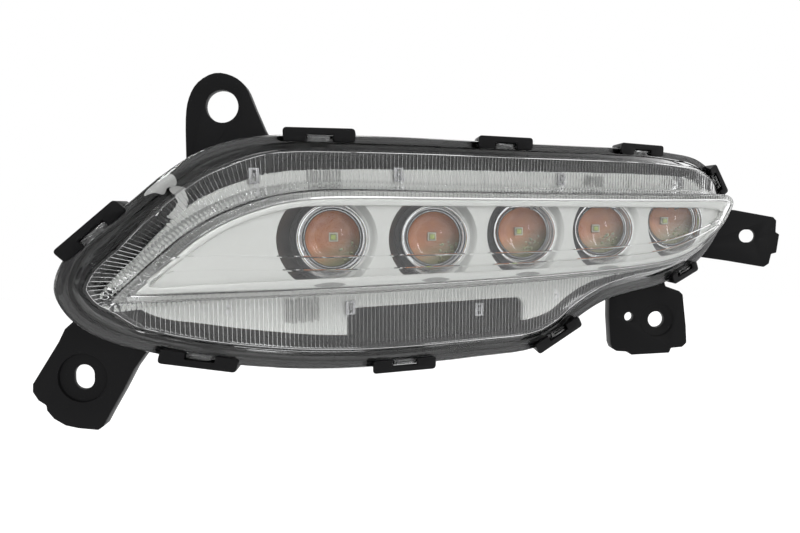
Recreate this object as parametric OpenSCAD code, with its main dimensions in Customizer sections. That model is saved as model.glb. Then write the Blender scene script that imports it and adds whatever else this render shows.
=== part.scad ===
// Daytime running light for a car bumper, with five LED spots behind a clear lens.
// The frame: x runs to the right, y to the back and z up, seen from in front of the car.
// The origin is the centre of the upper left fixing hole, on the front face of its ear.
// The lens follows an upright cylinder that sweeps back to the right and leans forward.
// A depth t is measured from the ribbed lens face, plus to the front and minus to the back.

/* [Frame] */
// First light, to the right of the upper hole
first_light_right = 39.8; // [38:0.2:41]
// First ring, in front of the upper hole
first_light_front = 12; // [11:0.5:14]
// First light, below the upper hole
first_light_below = 47.6; // [46:0.2:49]

/* [Lens sweep] */
// Radius of the upright cylinder that the lens follows
wrap_radius = 2200; // [2150:10:2400]
// Sweep of the lens at the first light
sweep_angle = 30; // [29:0.5:31]
// Forward lean of the lens
lean_angle = 5.5; // [4:0.5:7]
// From the front plane of the first ring back to the ribbed lens face
base_behind_ring = 15; // [13:0.5:16]

/* [Outline] */
// Left end of the lens flange, from the first light
left_end = 90; // [89:0.5:94]
// Right end of the lens flange, from the first light
right_end = 199; // [198:0.5:204]
// Top edge of the lens flange, above the first light
top_edge = 38; // [37:0.5:42]
// Bottom edge of the lens flange, below the first light
bottom_edge = 53; // [52:0.5:57]

/* [Lens] */
// Wall of the clear lens
lens_wall = 2.2; // [2:0.1:2.6]
// How far the eye stands in front of the ribbed face
eye_height = 26; // [25:0.5:28]
// Width of the flange round the ribbed face
flange_w = 8; // [7.5:0.1:8.5]
// How far the flange lies behind the ribbed face
flange_drop = 8; // [7:0.5:9]
// Length of the tongue that sits in the sealing channel
tongue_len = 5.5; // [4.5:0.5:6]
// Width of the tongue
tongue_w = 2; // [1.6:0.1:2.2]
// Spacing of the upright ribs
rib_pitch = 1.5; // [1.4:0.05:2]
// Height of the ribs
rib_height = 0.5; // [0.3:0.05:0.7]

/* [Housing] */
// Wall of the black housing
housing_wall = 2.2; // [2:0.1:2.6]
// From the ribbed lens face to the outside of the back wall
housing_depth = 34; // [33:0.5:38]
// Outer lip of the sealing channel
lip_w = 1.5; // [1.3:0.1:1.8]
// Width of the sealing channel
channel_w = 4.5; // [4:0.1:4.8]
// Depth of the sealing channel
channel_depth = 7; // [6.5:0.1:8]
// How far a snap loop stands out from the flange edge
loop_out = 2.2; // [2:0.1:2.6]
// How far its legs reach in over the flange
loop_in = 3; // [2.8:0.1:3.4]
// Thickness of the loop in front of the flange
loop_bar = 2.4; // [2:0.1:3]
// Width of the window in a snap loop
window_w = 10; // [8:0.2:11]
// Gap between the housing and the lens or the bezel
fit_gap = 0.3; // [0.2:0.05:0.4]

/* [Fixing ears] */
// Thickness of the ears
ear_wall = 3; // [2.6:0.1:3.4]
// Depth of the stiffening edge behind the ears
ear_edge = 9; // [7:0.5:11]
// Width of the stiffening edge
ear_edge_w = 2; // [1.6:0.1:2.4]
// Upper left hole, diameter
upper_hole_d = 11.8; // [10:0.1:13]
// Lower right hole, diameter
lower_hole_d = 8.3; // [7.5:0.1:9]
// Small locating hole beside it, diameter
locating_hole_d = 4.7; // [4:0.1:5.2]
// Width of the slots in the other two ears
slot_w = 7; // [6.4:0.1:7.6]
// Extra length of those slots
slot_play = 1.8; // [1.4:0.1:2.2]

/* [Lights] */
// Sideways spacing of the lights
light_pitch = 38; // [37.6:0.1:38.4]
// Step back from one light to the next
light_step = 23.1; // [22.5:0.1:23.5]
// Outer diameter of the bright rings
ring_d = 25.4; // [24:0.1:26]
// Wall of the bright rings
ring_wall = 1.5; // [1.2:0.1:1.7]
// Depth of the rings, from their front edge to the heat sink
ring_depth = 13; // [12:0.5:14]
// Height of the clear domes
dome_height = 5.5; // [4.5:0.5:6]
// Width of an LED package
led_w = 3.6; // [3:0.1:4.2]

/* [Bezel] */
// Wall of the silver bezel
bezel_wall = 1.5; // [1.3:0.1:1.7]
// Depth of the pocket behind the front rim of the bezel
pocket_depth = 2.3; // [1.5:0.1:3]
// Diameter of the wells round the rings
well_d = 34; // [33:0.1:34.4]

/* [Electronics] */
// Thickness of the heat sink plates
sink_wall = 3; // [2.5:0.1:3.4]
// Length of the cooling fins
fin_len = 8; // [6:0.5:10]
// Thickness of the film circuit
film = 0.3; // [0.2:0.05:0.4]
// Length of the driver board
board_len = 56; // [52:1:60]
// Height of the driver board
board_h = 24; // [22:1:26]
// Thickness of the driver board
board_t = 1.6; // [1.2:0.1:2]
// Length of the connector shroud behind the back wall
shroud_len = 15; // [13:0.5:18]
// Number of connector pins
pin_count = 3; // [2:1:3]

/* [Hidden] */
$fn = 256;

// Height at which the lean leaves the lens where it is
lean_z = -4;
// Size of the blocks and cylinders that only cut others
reach = 420;
// How far a cut passes the face that it opens
past = 1;
// Far enough in front of any face for a forward cut
ahead = 60;
// Number of lights, each with nodes of its own
light_count = 5;
// Inner edge of the sealing channel and of the housing wall, from the flange edge
channel_in = lip_w + channel_w;
cavity_in = channel_in + housing_wall;
// Depths of the main faces
flange_back = -flange_drop - lens_wall;
rim_front = flange_back - fit_gap;
channel_floor = rim_front - channel_depth;
rim_back = channel_floor - housing_wall;
back_inside = -housing_depth + housing_wall;
// The bezel lies this far behind the inside of the ribbed lens
bezel_gap = 2.5;
bezel_front = -lens_wall - bezel_gap;
bezel_back = bezel_front - bezel_wall;
// Clearance between lens and bezel inside the eye
eye_gap = 0.8;
eye_clear = lens_wall + eye_gap;
eye_inside = eye_height - eye_clear;
// Front of the pocket floor
deck_height = eye_inside - pocket_depth;
// Wall of the snap loops on the outside of the window
loop_rim = 2.6;
// Front of the snap loops, and of the lens hooks in their windows
loop_front = fit_gap + loop_bar - flange_drop;
hook_front = loop_front - 0.6;
// Outer face of the tongue, in the middle of its channel
tongue_out = lip_w + (channel_w - tongue_w) / 2;
// Slack of the seal all round in the channel
seal_gap = 0.05;
// Height of the stiffening ribs on the back, their width and their places
back_rib = 2.5;
back_rib_w = 1.8;
back_rib_x = [-56, -14, 28, 100, 150];
back_rib_z = [20, -32];
// Front faces of the ears, from the first light
upper_ear_y = first_light_front;
lower_left_ear_y = -4;
lower_right_ear_y = 146;
right_ear_y = 174;
// Hole centres in the ears, from the first light
upper_hole_at = [-first_light_right, first_light_below];
left_slot_at = [-87.1, -48.9];
lower_hole_at = [161.5, -46.7];
locating_hole_at = [147.2, -45.2];
right_slot_at = [219, -4.5];
// Bosses round those holes, length and wall, and the spot faces in two of them
hub_len = 5;
hub_wall = 2.5;
slot_hub_r = 10;
spot_r = 8.6;
slot_spot = 2.2;
hole_spot = 0.8;
// The wells lie a little to the left of their rings, and end this far behind the ring front
well_shift = 0.8;
well_back = 3.5;
// Gap between a ring and the bezel, and between a dome and its ring
ring_gap = 0.2;
dome_gap = 0.15;
// Ledge in the ring that the dome sits on, its depth from the ring front, and the dome's edge
ledge_w = 1.2;
dome_seat = dome_height + 1.2;
dome_edge = 1;
// Radius of the dome in plan, and of the ball that it is part of
dome_r = ring_d / 2 - ring_wall - dome_gap;
dome_ball = (pow(dome_r, 2) + pow(dome_height - dome_edge, 2)) / (2 * (dome_height - dome_edge));
// LED package: depth, and depth of its chip
led_d = 0.9;
chip_d = 0.3;
// Height of each light above the first, rising with the narrowing eye
light_rise = [0, -0.5, 1, 1.7, 4.8];

// Smooth closed line through hand-set points
function smooth(p, n = 3) = [for (i = [0:len(p) - 1])
    let (a = p[(i + len(p) - 1) % len(p)], b = p[i],
        c = p[(i + 1) % len(p)], d = p[(i + 2) % len(p)])
    for (s = [0:n - 1])
    let (u = s / n)
    0.5 * (2 * b + (c - a) * u + (2 * a - 5 * b + 4 * c - d) * u * u
        + (3 * b - a - 3 * c + d) * u * u * u)];
// Sweep of the lens at x, and its depth line at x, z and t
function sweep_at(x) = asin(sin(sweep_angle) + x / wrap_radius);
function plan_y(x, t) = wrap_radius * cos(sweep_angle)
    - sqrt(pow(wrap_radius + t, 2) - pow(x + wrap_radius * sin(sweep_angle), 2));
function lens_y(x, z, t = 0) = base_behind_ring + plan_y(x, t) / cos(lean_angle)
    - (z - lean_z) * tan(lean_angle);
// Place of each light
function light_x(i) = light_pitch * i;
function light_y(i) = light_step * i;
// Line moved inwards point by point, for a line that runs clockwise
function inset_points(line, by) = [for (i = [0:len(line) - 1])
    let (d = line[(i + 1) % len(line)] - line[(i + len(line) - 1) % len(line)])
    line[i] + by * [d.y, -d.x] / norm(d)];
// Front of the bezel sheet at a screw
function boss_y(p) = lens_y(p.x, p.y, bezel_front);

flange_line = smooth([[-left_end, -16], [3.5 - left_end, -5.5], [-78.5, 3.5], [-68, 12], [-57, 22],
    [-45, top_edge - 7.5], [-31, top_edge - 2.5], [-18, top_edge - 0.7], [-4.5, top_edge],
    [30, top_edge + 0.4], [71, top_edge + 0.3], [107, top_edge + 0.4], [142, top_edge + 0.4],
    [161, top_edge - 0.6], [175, top_edge - 2.4], [right_end - 14, top_edge - 6.8],
    [right_end - 6.5, top_edge - 13], [right_end, 12], [right_end - 2, 2], [right_end - 9, -8.5],
    [181, -16.8], [172.5, -22], [157, -27], [140, -29.5], [125, -32.5], [111, -39],
    [99.5, 6 - bottom_edge], [85, 0.8 - bottom_edge], [58, -bottom_edge], [28, -bottom_edge],
    [2, 1.1 - bottom_edge], [-22, 4 - bottom_edge], [-47, 9 - bottom_edge],
    [-64, 14 - bottom_edge], [-77, -33.5], [4 - left_end, -26]]);
eye_front_line = smooth([[-64.5, -17.5], [-57, -9.5], [-50, -3], [-43, 3], [-35, 8], [-26, 12],
    [-16, 15], [-4, 16.6], [12, 17], [40, 16.8], [80, 16.6], [118, 16.6], [152, 16.8],
    [174, 17], [180.8, 16], [183, 13], [181, 8.2], [174.8, 0], [162.5, -9.6], [146.5, -14.6],
    [118, -17.2], [76, -18.7], [32, -19.3], [-8, -19.3], [-40, -19], [-58, -18.8]]);
eye_base_line = smooth([[-71.5, -19.5], [-63, -9.5], [-56.5, -3], [-49, 3.8], [-40, 9.8],
    [-29, 14.6], [-17, 17.2], [-4, 18.8], [12, 18.9], [40, 18.4], [80, 18.2], [118, 18],
    [152, 17.9], [174, 17.8], [181.4, 16.8], [184.4, 13], [181.8, 8], [175.3, -0.4], [162.6, -10],
    [146.5, -15], [118, -17.6], [76, -19.1], [32, -19.7], [-8, -19.9], [-40, -20], [-60, -20]]);
shelf_line = smooth([[-55, -13.5], [-49, -8], [-42, -2.5], [-32, 4], [-20, 8.8], [-8, 11.2],
    [10, 11.6], [60, 11.4], [105, 11.2], [142, 11], [165, 10.8], [174.5, 9.8], [177, 7.5],
    [172, 1.5], [161.5, -5.4], [146.5, -9.6], [118, -12.1], [76, -12.9], [30, -13], [-10, -13.2],
    [-38, -13.6]]);
trim_line = smooth([[-72, -15.5], [-64, -5], [-56, 4], [-45.5, 13.2], [-34, 19], [-22, 22.8],
    [-8, 24.6], [34, 25.7], [75, 26], [113, 26.4], [155, 26.2], [173, 23.8], [182.5, 16],
    [183.5, 9], [180, -0.5], [163, -11], [138, -17.6], [114, -22.5], [101.5, -29], [90, -36],
    [70, -38.5], [30, -39], [0, -37.5], [-20, -34.8], [-44, -30], [-60, -26]]);
// Part of the bezel left open below the eye, as centre and size
trim_gap_at = [42.5, -34.5];
trim_gap_size = [75, 14];
// Snap loops: number of the flange point in their middle, and length
loops = [[2, 25], [8, 26], [10, 25], [12, 25], [16, 17], [21, 17], [26, 25], [29, 26], [32, 26]];
// Bezel screws, on small bosses at the edge of the silver
bezel_screw_at = [[-28, 17.5], [25, 21.8], [97, 22], [160, 21.8], [-38, -24.6], [95, -27.5]];
// Heat sink plates that are screwed down, and where
sink_screw_of = [0, 1, 3, light_count - 1];
sink_screw_x = -15.6;
sink_screw_z = 7.2;
sink_low = -9;
sink_high = 11;
fin_x = [-8, -1, 6, 13];
fin_w = 1.4;
// Edges of each plate, left and right of its light
plate_right = 18.6;
plate_left = light_pitch - plate_right + sink_wall;
// Screws: head, shank and hole, radius, and lengths
head_r = 2.6;
head_h = 1.8;
shank_r = 1.4;
hole_r = shank_r + 0.1;
shank_len = 9;
post_r = 3.2;
// Depth of a screw hole past the end of its shank
hole_past = 1.5;
// Screw bosses of the bezel: seat of the screw, back and radius
boss_seat = head_h + 0.2;
boss_back = 5.4;
boss_r = head_r + 1.6;
// Pads of the film circuit behind each light, and its narrow links
film_h = 12;
film_w = 18;
link_h = 5;
// Driver board: middle, and depth of its front face
board_x = 57;
board_z = 0;
board_front = -23.5;
// Its two holes, in opposite corners, and the posts behind it
board_holes = [for (side = [-1, 1]) side * [board_len / 2 - 3.5, board_h / 2 - 3.5]];
board_post_r = 2.6;
board_post_len = board_front - back_inside + housing_wall / 2;
board_shank = shank_len - 2.5;
// Tail of the film circuit, left of the third light, down to a header on the board
tail_x = light_x(2) - 16.5;
tail_w = 5;
tail_y = light_y(2) + ring_depth;
tail_low = sink_low - film - 0.2;
tail_end = lens_y(tail_x, sink_low, board_front) - 0.6;
// Size of that header, and its place on the board
header = [5.5, 4, 2.1];
header_at = [2.5, -4, -11.9];
// Connector: place on the board, and half length and radius of its rounded section
plug_x = 16;
plug_half = 4.5;
plug_r = 6.4;
plug_wall = 1.3;
plug_base = 3;
plug_gap = 0.2;
shroud_wall = 2;
// Start of the shroud behind the front of the board
shroud_from = board_front - back_inside;
// Pins: radius, pitch, places across the plug, and how far they stand into the socket
pin_r = 0.65;
pin_pitch = 3.4;
pin_x = [for (k = [0:pin_count - 1]) (k - (pin_count - 1) / 2) * pin_pitch];
pin_reach = 9;
// Vent: place, and radius of its spigot
vent_x = 126;
vent_z = 6;
vent_r = 5;
vent_bore = 2;
vent_h = 5;
vent_cap_wall = 1.8;
vent_cap_h = 2.5;
vent_overlap = 2;

// Puts the lamp, drawn round its first light, into the frame of the upper hole
module placed() {
    translate([first_light_right, -first_light_front, -first_light_below]) children();
}
// Shell between two depths
module layer(back, front) {
    translate([0, base_behind_ring, lean_z])
    rotate([lean_angle, 0, 0])
    translate([-wrap_radius * sin(sweep_angle), wrap_radius * cos(sweep_angle), 0])
    difference() {
        cylinder(r = wrap_radius + front, h = reach, center = true);
        cylinder(r = wrap_radius + back, h = reach + 2, center = true);
    }
}
// Flat outline, drawn in x and z, extruded from front to back
module prism() {
    rotate([90, 0, 0]) linear_extrude(height = 2 * reach, center = true) children();
}
// Part of a flat outline between two depths
module slab(back, front) {
    intersection() {
        layer(back, front);
        prism() children();
    }
}
module inset_line(line, by) {
    offset(delta = -by) polygon(line);
}
// Band of an outline between two insets
module band(line, outer, inner) {
    difference() {
        inset_line(line, outer);
        inset_line(line, inner);
    }
}
// Local frame on the swept lens: x along it, y to the back and z up
module on_lens(x, z, t = 0) {
    translate([x, lens_y(x, z, t), z]) rotate([0, 0, sweep_at(x)]) rotate([lean_angle, 0, 0])
        children();
}
// Cylinder from y0 back to y1, at x and z
module rod(x, z, y0, y1, r) {
    translate([x, y1, z]) rotate([90, 0, 0]) cylinder(r = r, h = y1 - y0);
}
// Straight hole with round ends, as a flat shape
module slot(half, r) {
    union() {
        translate([-half, 0]) circle(r = r);
        translate([half, 0]) circle(r = r);
        square([2 * half, 2 * r], center = true);
    }
}
// Screw with its head towards the front, its shank running back
module screw() {
    difference() {
        rod(0, 0, -head_h, 0, head_r);
        translate([0, -head_h, 0]) cube([3.2, 1.6, 0.7], center = true);
        translate([0, -head_h, 0]) cube([0.7, 1.6, 3.2], center = true);
    }
    rod(0, 0, 0, shank_len, shank_r);
}

// Frames of the driver board, on its front face, and of the vent, inside the back wall
module board_frame() on_lens(board_x, board_z, board_front) children();
module vent_frame() on_lens(vent_x, vent_z, back_inside - past) children();

// Flat local frame at a point of the flange edge: x along the edge, y outwards
module on_edge(number) {
    k = 3 * number;
    p = flange_line[k];
    d = flange_line[k + 3] - flange_line[k - 3];
    translate(p) rotate(atan2(d.y, d.x)) children();
}
// Flat outline of the snap loops, reaching in over the flange by inner
module loop_blocks(inner) {
    for (l = loops) on_edge(l[0]) translate([-l[1] / 2, -inner]) square([l[1], inner + loop_out]);
}
// The same with a window in each for its hook
module loop_bars() {
    difference() {
        loop_blocks(loop_in);
        for (l = loops) on_edge(l[0]) translate([-window_w / 2, -loop_in - past])
            square([window_w, past + loop_in + loop_out - loop_rim]);
    }
}
// Flat outline of the lens hooks that fill those windows
module loop_hooks() {
    for (l = loops) on_edge(l[0])
        translate([fit_gap - window_w / 2, -loop_in])
            square([window_w - 2 * fit_gap, loop_in + loop_out - loop_rim - fit_gap]);
}

// Ear outlines, drawn round the first light
module upper_left_ear() {
    polygon(smooth([[-53, 12], [-53, 29], [-53, 43], [-51.8, 50.5], [-48.5, 56.2], [-42.4, 59.6],
        [-36, 58.6], [-31.2, 54.8], [-28, 47.5], [-24.6, 39.5], [-21, 31], [-20, 20], [-30, 12]]));
}
module lower_left_ear() {
    polygon([[-80, -20], [-89.5, -28.5], [-93, -31.6], [-95.3, -36.3], [-100, -43.8], [-104.5, -51],
        [-104.6, -53.8], [-102.7, -56.8], [-100, -58.6], [-99.8, -60.4], [-97.4, -63.4],
        [-93.4, -65.8], [-89, -66.8], [-82, -67.5], [-80.2, -66.2], [-77.6, -61.4], [-73, -53.4],
        [-69, -45.8], [-64.5, -39.6], [-58, -30]]);
}
module lower_right_ear() {
    polygon([[135, -18], [136.8, -36.4], [136.8, -45], [137.8, -59], [138.8, -61.6], [141, -63],
        [147.2, -63.4], [148.7, -65], [168.4, -64], [169.4, -61.5], [175.2, -61], [177.4, -58.8],
        [176.9, -50], [175, -33.8], [173.1, -32], [166, -29.5], [162, -16]]);
}
module right_ear() {
    polygon([[188, 12], [212, 9.6], [233.2, 5.8], [235, 4], [234.8, -2.4], [236.8, -3.6],
        [235.4, -13.6], [232.6, -14.3], [231.4, -19.6], [228.6, -21.4], [210.2, -18.3], [180, -14]]);
}
// Ear as a plate with a stiffening edge, front face at y0
module ear_shell(y0) {
    translate([0, y0 + ear_wall, 0]) rotate([90, 0, 0]) linear_extrude(height = ear_wall) children();
    translate([0, y0 + ear_edge, 0]) rotate([90, 0, 0]) linear_extrude(height = ear_edge)
        difference() {
            children();
            offset(delta = -ear_edge_w) children();
        }
}
// Round hub behind an ear at p, and the hole through it
module hub(p, y, r) {
    rod(p.x, p.y, y, y + hub_len, r);
}
module ear_hole(p, y, r) {
    rod(p.x, p.y, y - past, y + 4 * hub_len, r);
}

module ears() {
    difference() {
        union() {
            ear_shell(upper_ear_y) upper_left_ear();
            ear_shell(lower_left_ear_y) lower_left_ear();
            ear_shell(lower_right_ear_y) lower_right_ear();
            ear_shell(right_ear_y) right_ear();
            hub(upper_hole_at, upper_ear_y, upper_hole_d / 2 + hub_wall);
            hub(left_slot_at, lower_left_ear_y, slot_hub_r);
            hub(lower_hole_at, lower_right_ear_y, lower_hole_d / 2 + hub_wall);
            hub(locating_hole_at, lower_right_ear_y, locating_hole_d / 2 + hub_wall);
        }
        // Clear of the lens, the sealing channel and the inside
        slab(rim_front - fit_gap, reach / 2) inset_line(flange_line, -fit_gap);
        slab(channel_floor - past / 2, reach / 2) inset_line(flange_line, lip_w / 2);
        prism() inset_line(flange_line, channel_in + housing_wall / 4);
        ear_hole(upper_hole_at, upper_ear_y, upper_hole_d / 2);
        ear_hole(lower_hole_at, lower_right_ear_y, lower_hole_d / 2);
        ear_hole(locating_hole_at, lower_right_ear_y, locating_hole_d / 2);
        // Spot faces round the left slot and the lower hole
        rod(left_slot_at.x, left_slot_at.y, lower_left_ear_y - past, lower_left_ear_y + slot_spot, spot_r);
        rod(lower_hole_at.x, lower_hole_at.y, lower_right_ear_y - past,
            lower_right_ear_y + hole_spot, spot_r);
        prism() translate(left_slot_at) rotate(90) slot(slot_play / 2, slot_w / 2);
        prism() translate(right_slot_at) slot(slot_play / 2, slot_w / 2);
    }
}

// Post on the inside of the back wall, at x and z, up to y
module back_post(x, z, y) {
    intersection() {
        rod(x, z, y, y + ahead, post_r);
        layer(back_inside - past / 2, ahead);
    }
}
module housing() placed() color("#1c1d1f") difference() {
    union() {
        // Sealing channel
        difference() {
            slab(rim_back, rim_front) band(flange_line, 0, cavity_in);
            slab(channel_floor, 0) band(flange_line, lip_w, channel_in);
        }
        slab(-housing_depth, rim_front) band(flange_line, channel_in, cavity_in);
        slab(-housing_depth, back_inside) inset_line(flange_line, channel_in);
        // Stiffening ribs on the back
        slab(-housing_depth - back_rib, past / 2 - housing_depth) intersection() {
            inset_line(flange_line, channel_in);
            union() {
                for (x = back_rib_x) translate([x, 0]) square([back_rib_w, reach], center = true);
                for (z = back_rib_z) translate([0, z]) square([2 * reach, back_rib_w], center = true);
            }
        }
        // Snap loops: roots on the channel, arms outside the lens flange, and bars in front of it
        slab(rim_back, rim_front) difference() {
            loop_blocks(loop_in);
            inset_line(flange_line, lip_w / 2);
        }
        difference() {
            slab(rim_front - past, loop_front) loop_blocks(loop_in);
            prism() inset_line(flange_line, -fit_gap);
        }
        slab(loop_front - loop_bar, loop_front) loop_bars();
        ears();
        // Posts for the heat sink and the bezel
        for (i = sink_screw_of)
            back_post(light_x(i) + sink_screw_x, sink_screw_z, light_y(i) + ring_depth + sink_wall);
        for (p = bezel_screw_at) back_post(p.x, p.y, boss_y(p) + boss_back);
        // Posts for the board, connector shroud and vent spigot
        board_frame() {
            for (p = board_holes) rod(p.x, p.y, board_t, board_post_len, board_post_r);
            translate([plug_x, shroud_from, 0]) rotate([-90, 0, 0])
                linear_extrude(height = shroud_len) slot(plug_half, plug_r + shroud_wall);
        }
        vent_frame() rod(0, 0, 0, vent_h, vent_r);
    }
    for (i = sink_screw_of)
        rod(light_x(i) + sink_screw_x, sink_screw_z, light_y(i) + ring_depth,
            light_y(i) + ring_depth + shank_len + hole_past, hole_r);
    for (p = bezel_screw_at)
        rod(p.x, p.y, boss_y(p), boss_y(p) + boss_seat + shank_len + hole_past, hole_r);
    board_frame() {
        for (p = board_holes) rod(p.x, p.y, 0, board_shank + past, hole_r);
        translate([plug_x, 0, 0]) rotate([-90, 0, 0])
            linear_extrude(height = ahead) slot(plug_half, plug_r + plug_gap);
    }
    vent_frame() rod(0, 0, -2 * housing_wall, 2 * vent_h, vent_bore);
}

// Ribbed sheet of the lens: smooth front, ribs on its inner face
module ribbed_sheet() {
    first = -left_end;
    last = right_end;
    count = floor((last - first) / rib_pitch);
    xs = [for (i = [0:2 * count]) first + i * rib_pitch / 2];
    inner = [for (i = [0:2 * count]) [xs[i], plan_y(xs[i], -lens_wall - (i % 2) * rib_height)]];
    translate([0, base_behind_ring, lean_z]) rotate([lean_angle, 0, 0])
        linear_extrude(height = reach, center = true)
        polygon(concat(inner, [[last, -reach / 2], [first, -reach / 2]]));
}
// Eye of the lens, tapering from its foot to its front, made smaller by the wall
module eye_body(wall) {
    n = len(eye_base_line);
    back_ring = [for (p = inset_points(eye_base_line, wall))
        [p.x, lens_y(p.x, p.y, -2 * lens_wall), p.y]];
    front_ring = [for (p = inset_points(eye_front_line, wall))
        [p.x, lens_y(p.x, p.y, eye_height - wall), p.y]];
    hull() polyhedron(concat(back_ring, front_ring), concat(
        [[for (i = [0:n - 1]) n - 1 - i], [for (i = [0:n - 1]) n + i]],
        [for (i = [0:n - 1]) [i, (i + 1) % n, n + (i + 1) % n, n + i]]));
}
module outer_lens() placed() color([0.88, 0.9, 0.92, 0.35]) {
    difference() {
        union() {
            intersection() {
                layer(-lens_wall - past, 0);
                ribbed_sheet();
                prism() inset_line(flange_line, flange_w);
            }
            intersection() {
                layer(-lens_wall, ahead);
                eye_body(0);
            }
            slab(flange_back, 0) band(flange_line, flange_w, flange_w + lens_wall);
            slab(flange_back, -flange_drop) band(flange_line, 0, flange_w + lens_wall);
            slab(flange_back - tongue_len, flange_back + past / 2)
                band(flange_line, tongue_out, tongue_out + tongue_w);
            slab(flange_back, hook_front) loop_hooks();
        }
        eye_body(lens_wall);
    }
}

module lens_seal() placed() color("#3a3c3e")
    slab(channel_floor, flange_back - tongue_len - seal_gap)
        band(flange_line, lip_w + seal_gap, channel_in - seal_gap);

// Outside of the round well for light i, behind the pocket floor
module well(i) intersection() {
    rod(light_x(i) - well_shift, light_rise[i], light_y(i) - ahead, light_y(i) + well_back,
        well_d / 2 + bezel_wall / 2);
    layer(-ahead, deck_height - bezel_wall / 2);
    prism() inset_line(shelf_line, -bezel_wall / 2);
}
// Hollow of a well, or of its ring hole, up to the shelf round the pocket
module well_inside(i, x, y, r) intersection() {
    rod(x, light_rise[i], light_y(i) - ahead, y, r);
    prism() polygon(shelf_line);
}

module bezel() placed() color("#c9cbcc") difference() {
    union() {
        // Trim sheet under the ribs, open in the middle and below
        slab(bezel_back, bezel_front) difference() {
            polygon(trim_line);
            translate(trim_gap_at) square(trim_gap_size, center = true);
            inset_line(eye_front_line, eye_clear + bezel_wall / 2);
        }
        intersection() {
            layer(-ahead, bezel_front);
            union() {
                for (p = bezel_screw_at)
                    rod(p.x, p.y, boss_y(p) - 2 * boss_back, boss_y(p) + boss_back, boss_r);
            }
        }
        slab(bezel_back, eye_inside) band(eye_front_line, eye_clear, eye_clear + bezel_wall);
        slab(deck_height - bezel_wall, eye_inside) inset_line(eye_front_line, eye_clear + bezel_wall / 2);
        for (i = [0:light_count - 1]) well(i);
    }
    // Pocket in front of its floor
    slab(deck_height, ahead) polygon(shelf_line);
    for (i = [0:light_count - 1]) {
        well_inside(i, light_x(i) - well_shift, light_y(i) + well_back - bezel_wall, well_d / 2);
        well_inside(i, light_x(i), light_y(i) + ring_depth, ring_d / 2 + ring_gap);
    }
    for (p = bezel_screw_at) {
        rod(p.x, p.y, boss_y(p) - 2 * boss_back, boss_y(p) + 2 * boss_back, hole_r);
        rod(p.x, p.y, boss_y(p) - 2 * boss_back, boss_y(p) + boss_seat, head_r + fit_gap);
    }
}

module lens_ring(i) placed() color("#e4e6e8") intersection() {
    prism() inset_line(shelf_line, ring_gap);
    translate([light_x(i), light_y(i), light_rise[i]]) difference() {
        rod(0, 0, 0, ring_depth, ring_d / 2);
        rod(0, 0, -past, dome_seat, ring_d / 2 - ring_wall);
        rod(0, 0, -past, ring_depth + past, ring_d / 2 - ring_wall - ledge_w);
        // Room for the film circuit
        translate([0, ring_depth, 0]) cube([2 * ring_d, 3 * film, film_h + 4], center = true);
    }
}

module condenser_lens(i) placed() color([0.9, 0.93, 0.95, 0.5]) intersection() {
    prism() inset_line(shelf_line, 2 * ring_gap);
    translate([light_x(i), light_y(i) + dome_seat, light_rise[i]]) intersection() {
        rod(0, 0, -dome_height - past, 0, dome_r);
        translate([0, dome_ball - dome_height, 0]) sphere(r = dome_ball);
    }
}

module led(i) placed() color("#e8e4d2")
    translate([light_x(i), light_y(i) + ring_depth - film, light_rise[i]]) {
        translate([-led_w / 2, -led_d, -led_w / 2]) cube([led_w, led_d, led_w]);
        translate([-led_w / 4, -led_d - chip_d, -led_w / 4]) cube([led_w / 2, led_d, led_w / 2]);
    }

module heat_sink() placed() color("#a9adb1") difference() {
    intersection() {
        prism() inset_line(eye_front_line, eye_clear + bezel_wall + fit_gap);
        translate([0, 0, sink_low]) linear_extrude(height = sink_high - sink_low) union() {
            for (i = [0:light_count - 1]) translate([light_x(i), light_y(i) + ring_depth]) {
                translate([-plate_left, 0]) square([plate_left + plate_right, sink_wall]);
                if (i < light_count - 1)
                    translate([plate_right - sink_wall, 0]) square([sink_wall, light_step + sink_wall]);
                for (x = fin_x) translate([x - fin_w / 2, 0]) square([fin_w, sink_wall + fin_len]);
            }
        }
    }
    for (i = sink_screw_of)
        rod(light_x(i) + sink_screw_x, sink_screw_z, light_y(i), light_y(i) + ahead, hole_r);
}
module heat_sink_screws() placed() color("#8d9094")
    for (i = sink_screw_of)
        translate([light_x(i) + sink_screw_x, light_y(i) + ring_depth, sink_screw_z]) screw();

module flex_circuit() placed() color("#c8743c") {
    for (i = [0:light_count - 1])
        translate([light_x(i) - film_w / 2, light_y(i) + ring_depth - film, light_rise[i] - film_h / 2])
            cube([film_w, film, film_h]);
    // Links run round the outer corner of each step
    translate([0, 0, -link_h / 2]) linear_extrude(height = link_h) union() {
        for (i = [0:light_count - 2]) translate([light_x(i), light_y(i) + ring_depth]) {
            translate([film_w / 2 - past, -film])
                square([plate_right + film + past - film_w / 2, film]);
            translate([plate_right, -film]) square([film, light_step + film]);
            translate([plate_right, light_step - film])
                square([light_pitch - plate_right + past - film_w / 2, film]);
        }
    }
    // Tail under the heat sink to the header on the board
    translate([tail_x, tail_y - film, tail_low]) cube([tail_w, film, -tail_low]);
    translate([tail_x, tail_y - film, tail_low]) cube([tail_w, tail_end - tail_y, film]);
}

module driver_board() placed() color("#2f6b45") board_frame() difference() {
    translate([-board_len / 2, 0, -board_h / 2]) cube([board_len, board_t, board_h]);
    for (p = board_holes) rod(p.x, p.y, -past, board_t + past, hole_r);
    for (x = pin_x) rod(plug_x + x, 0, -past, board_t + past, pin_r + 0.1);
}
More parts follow.
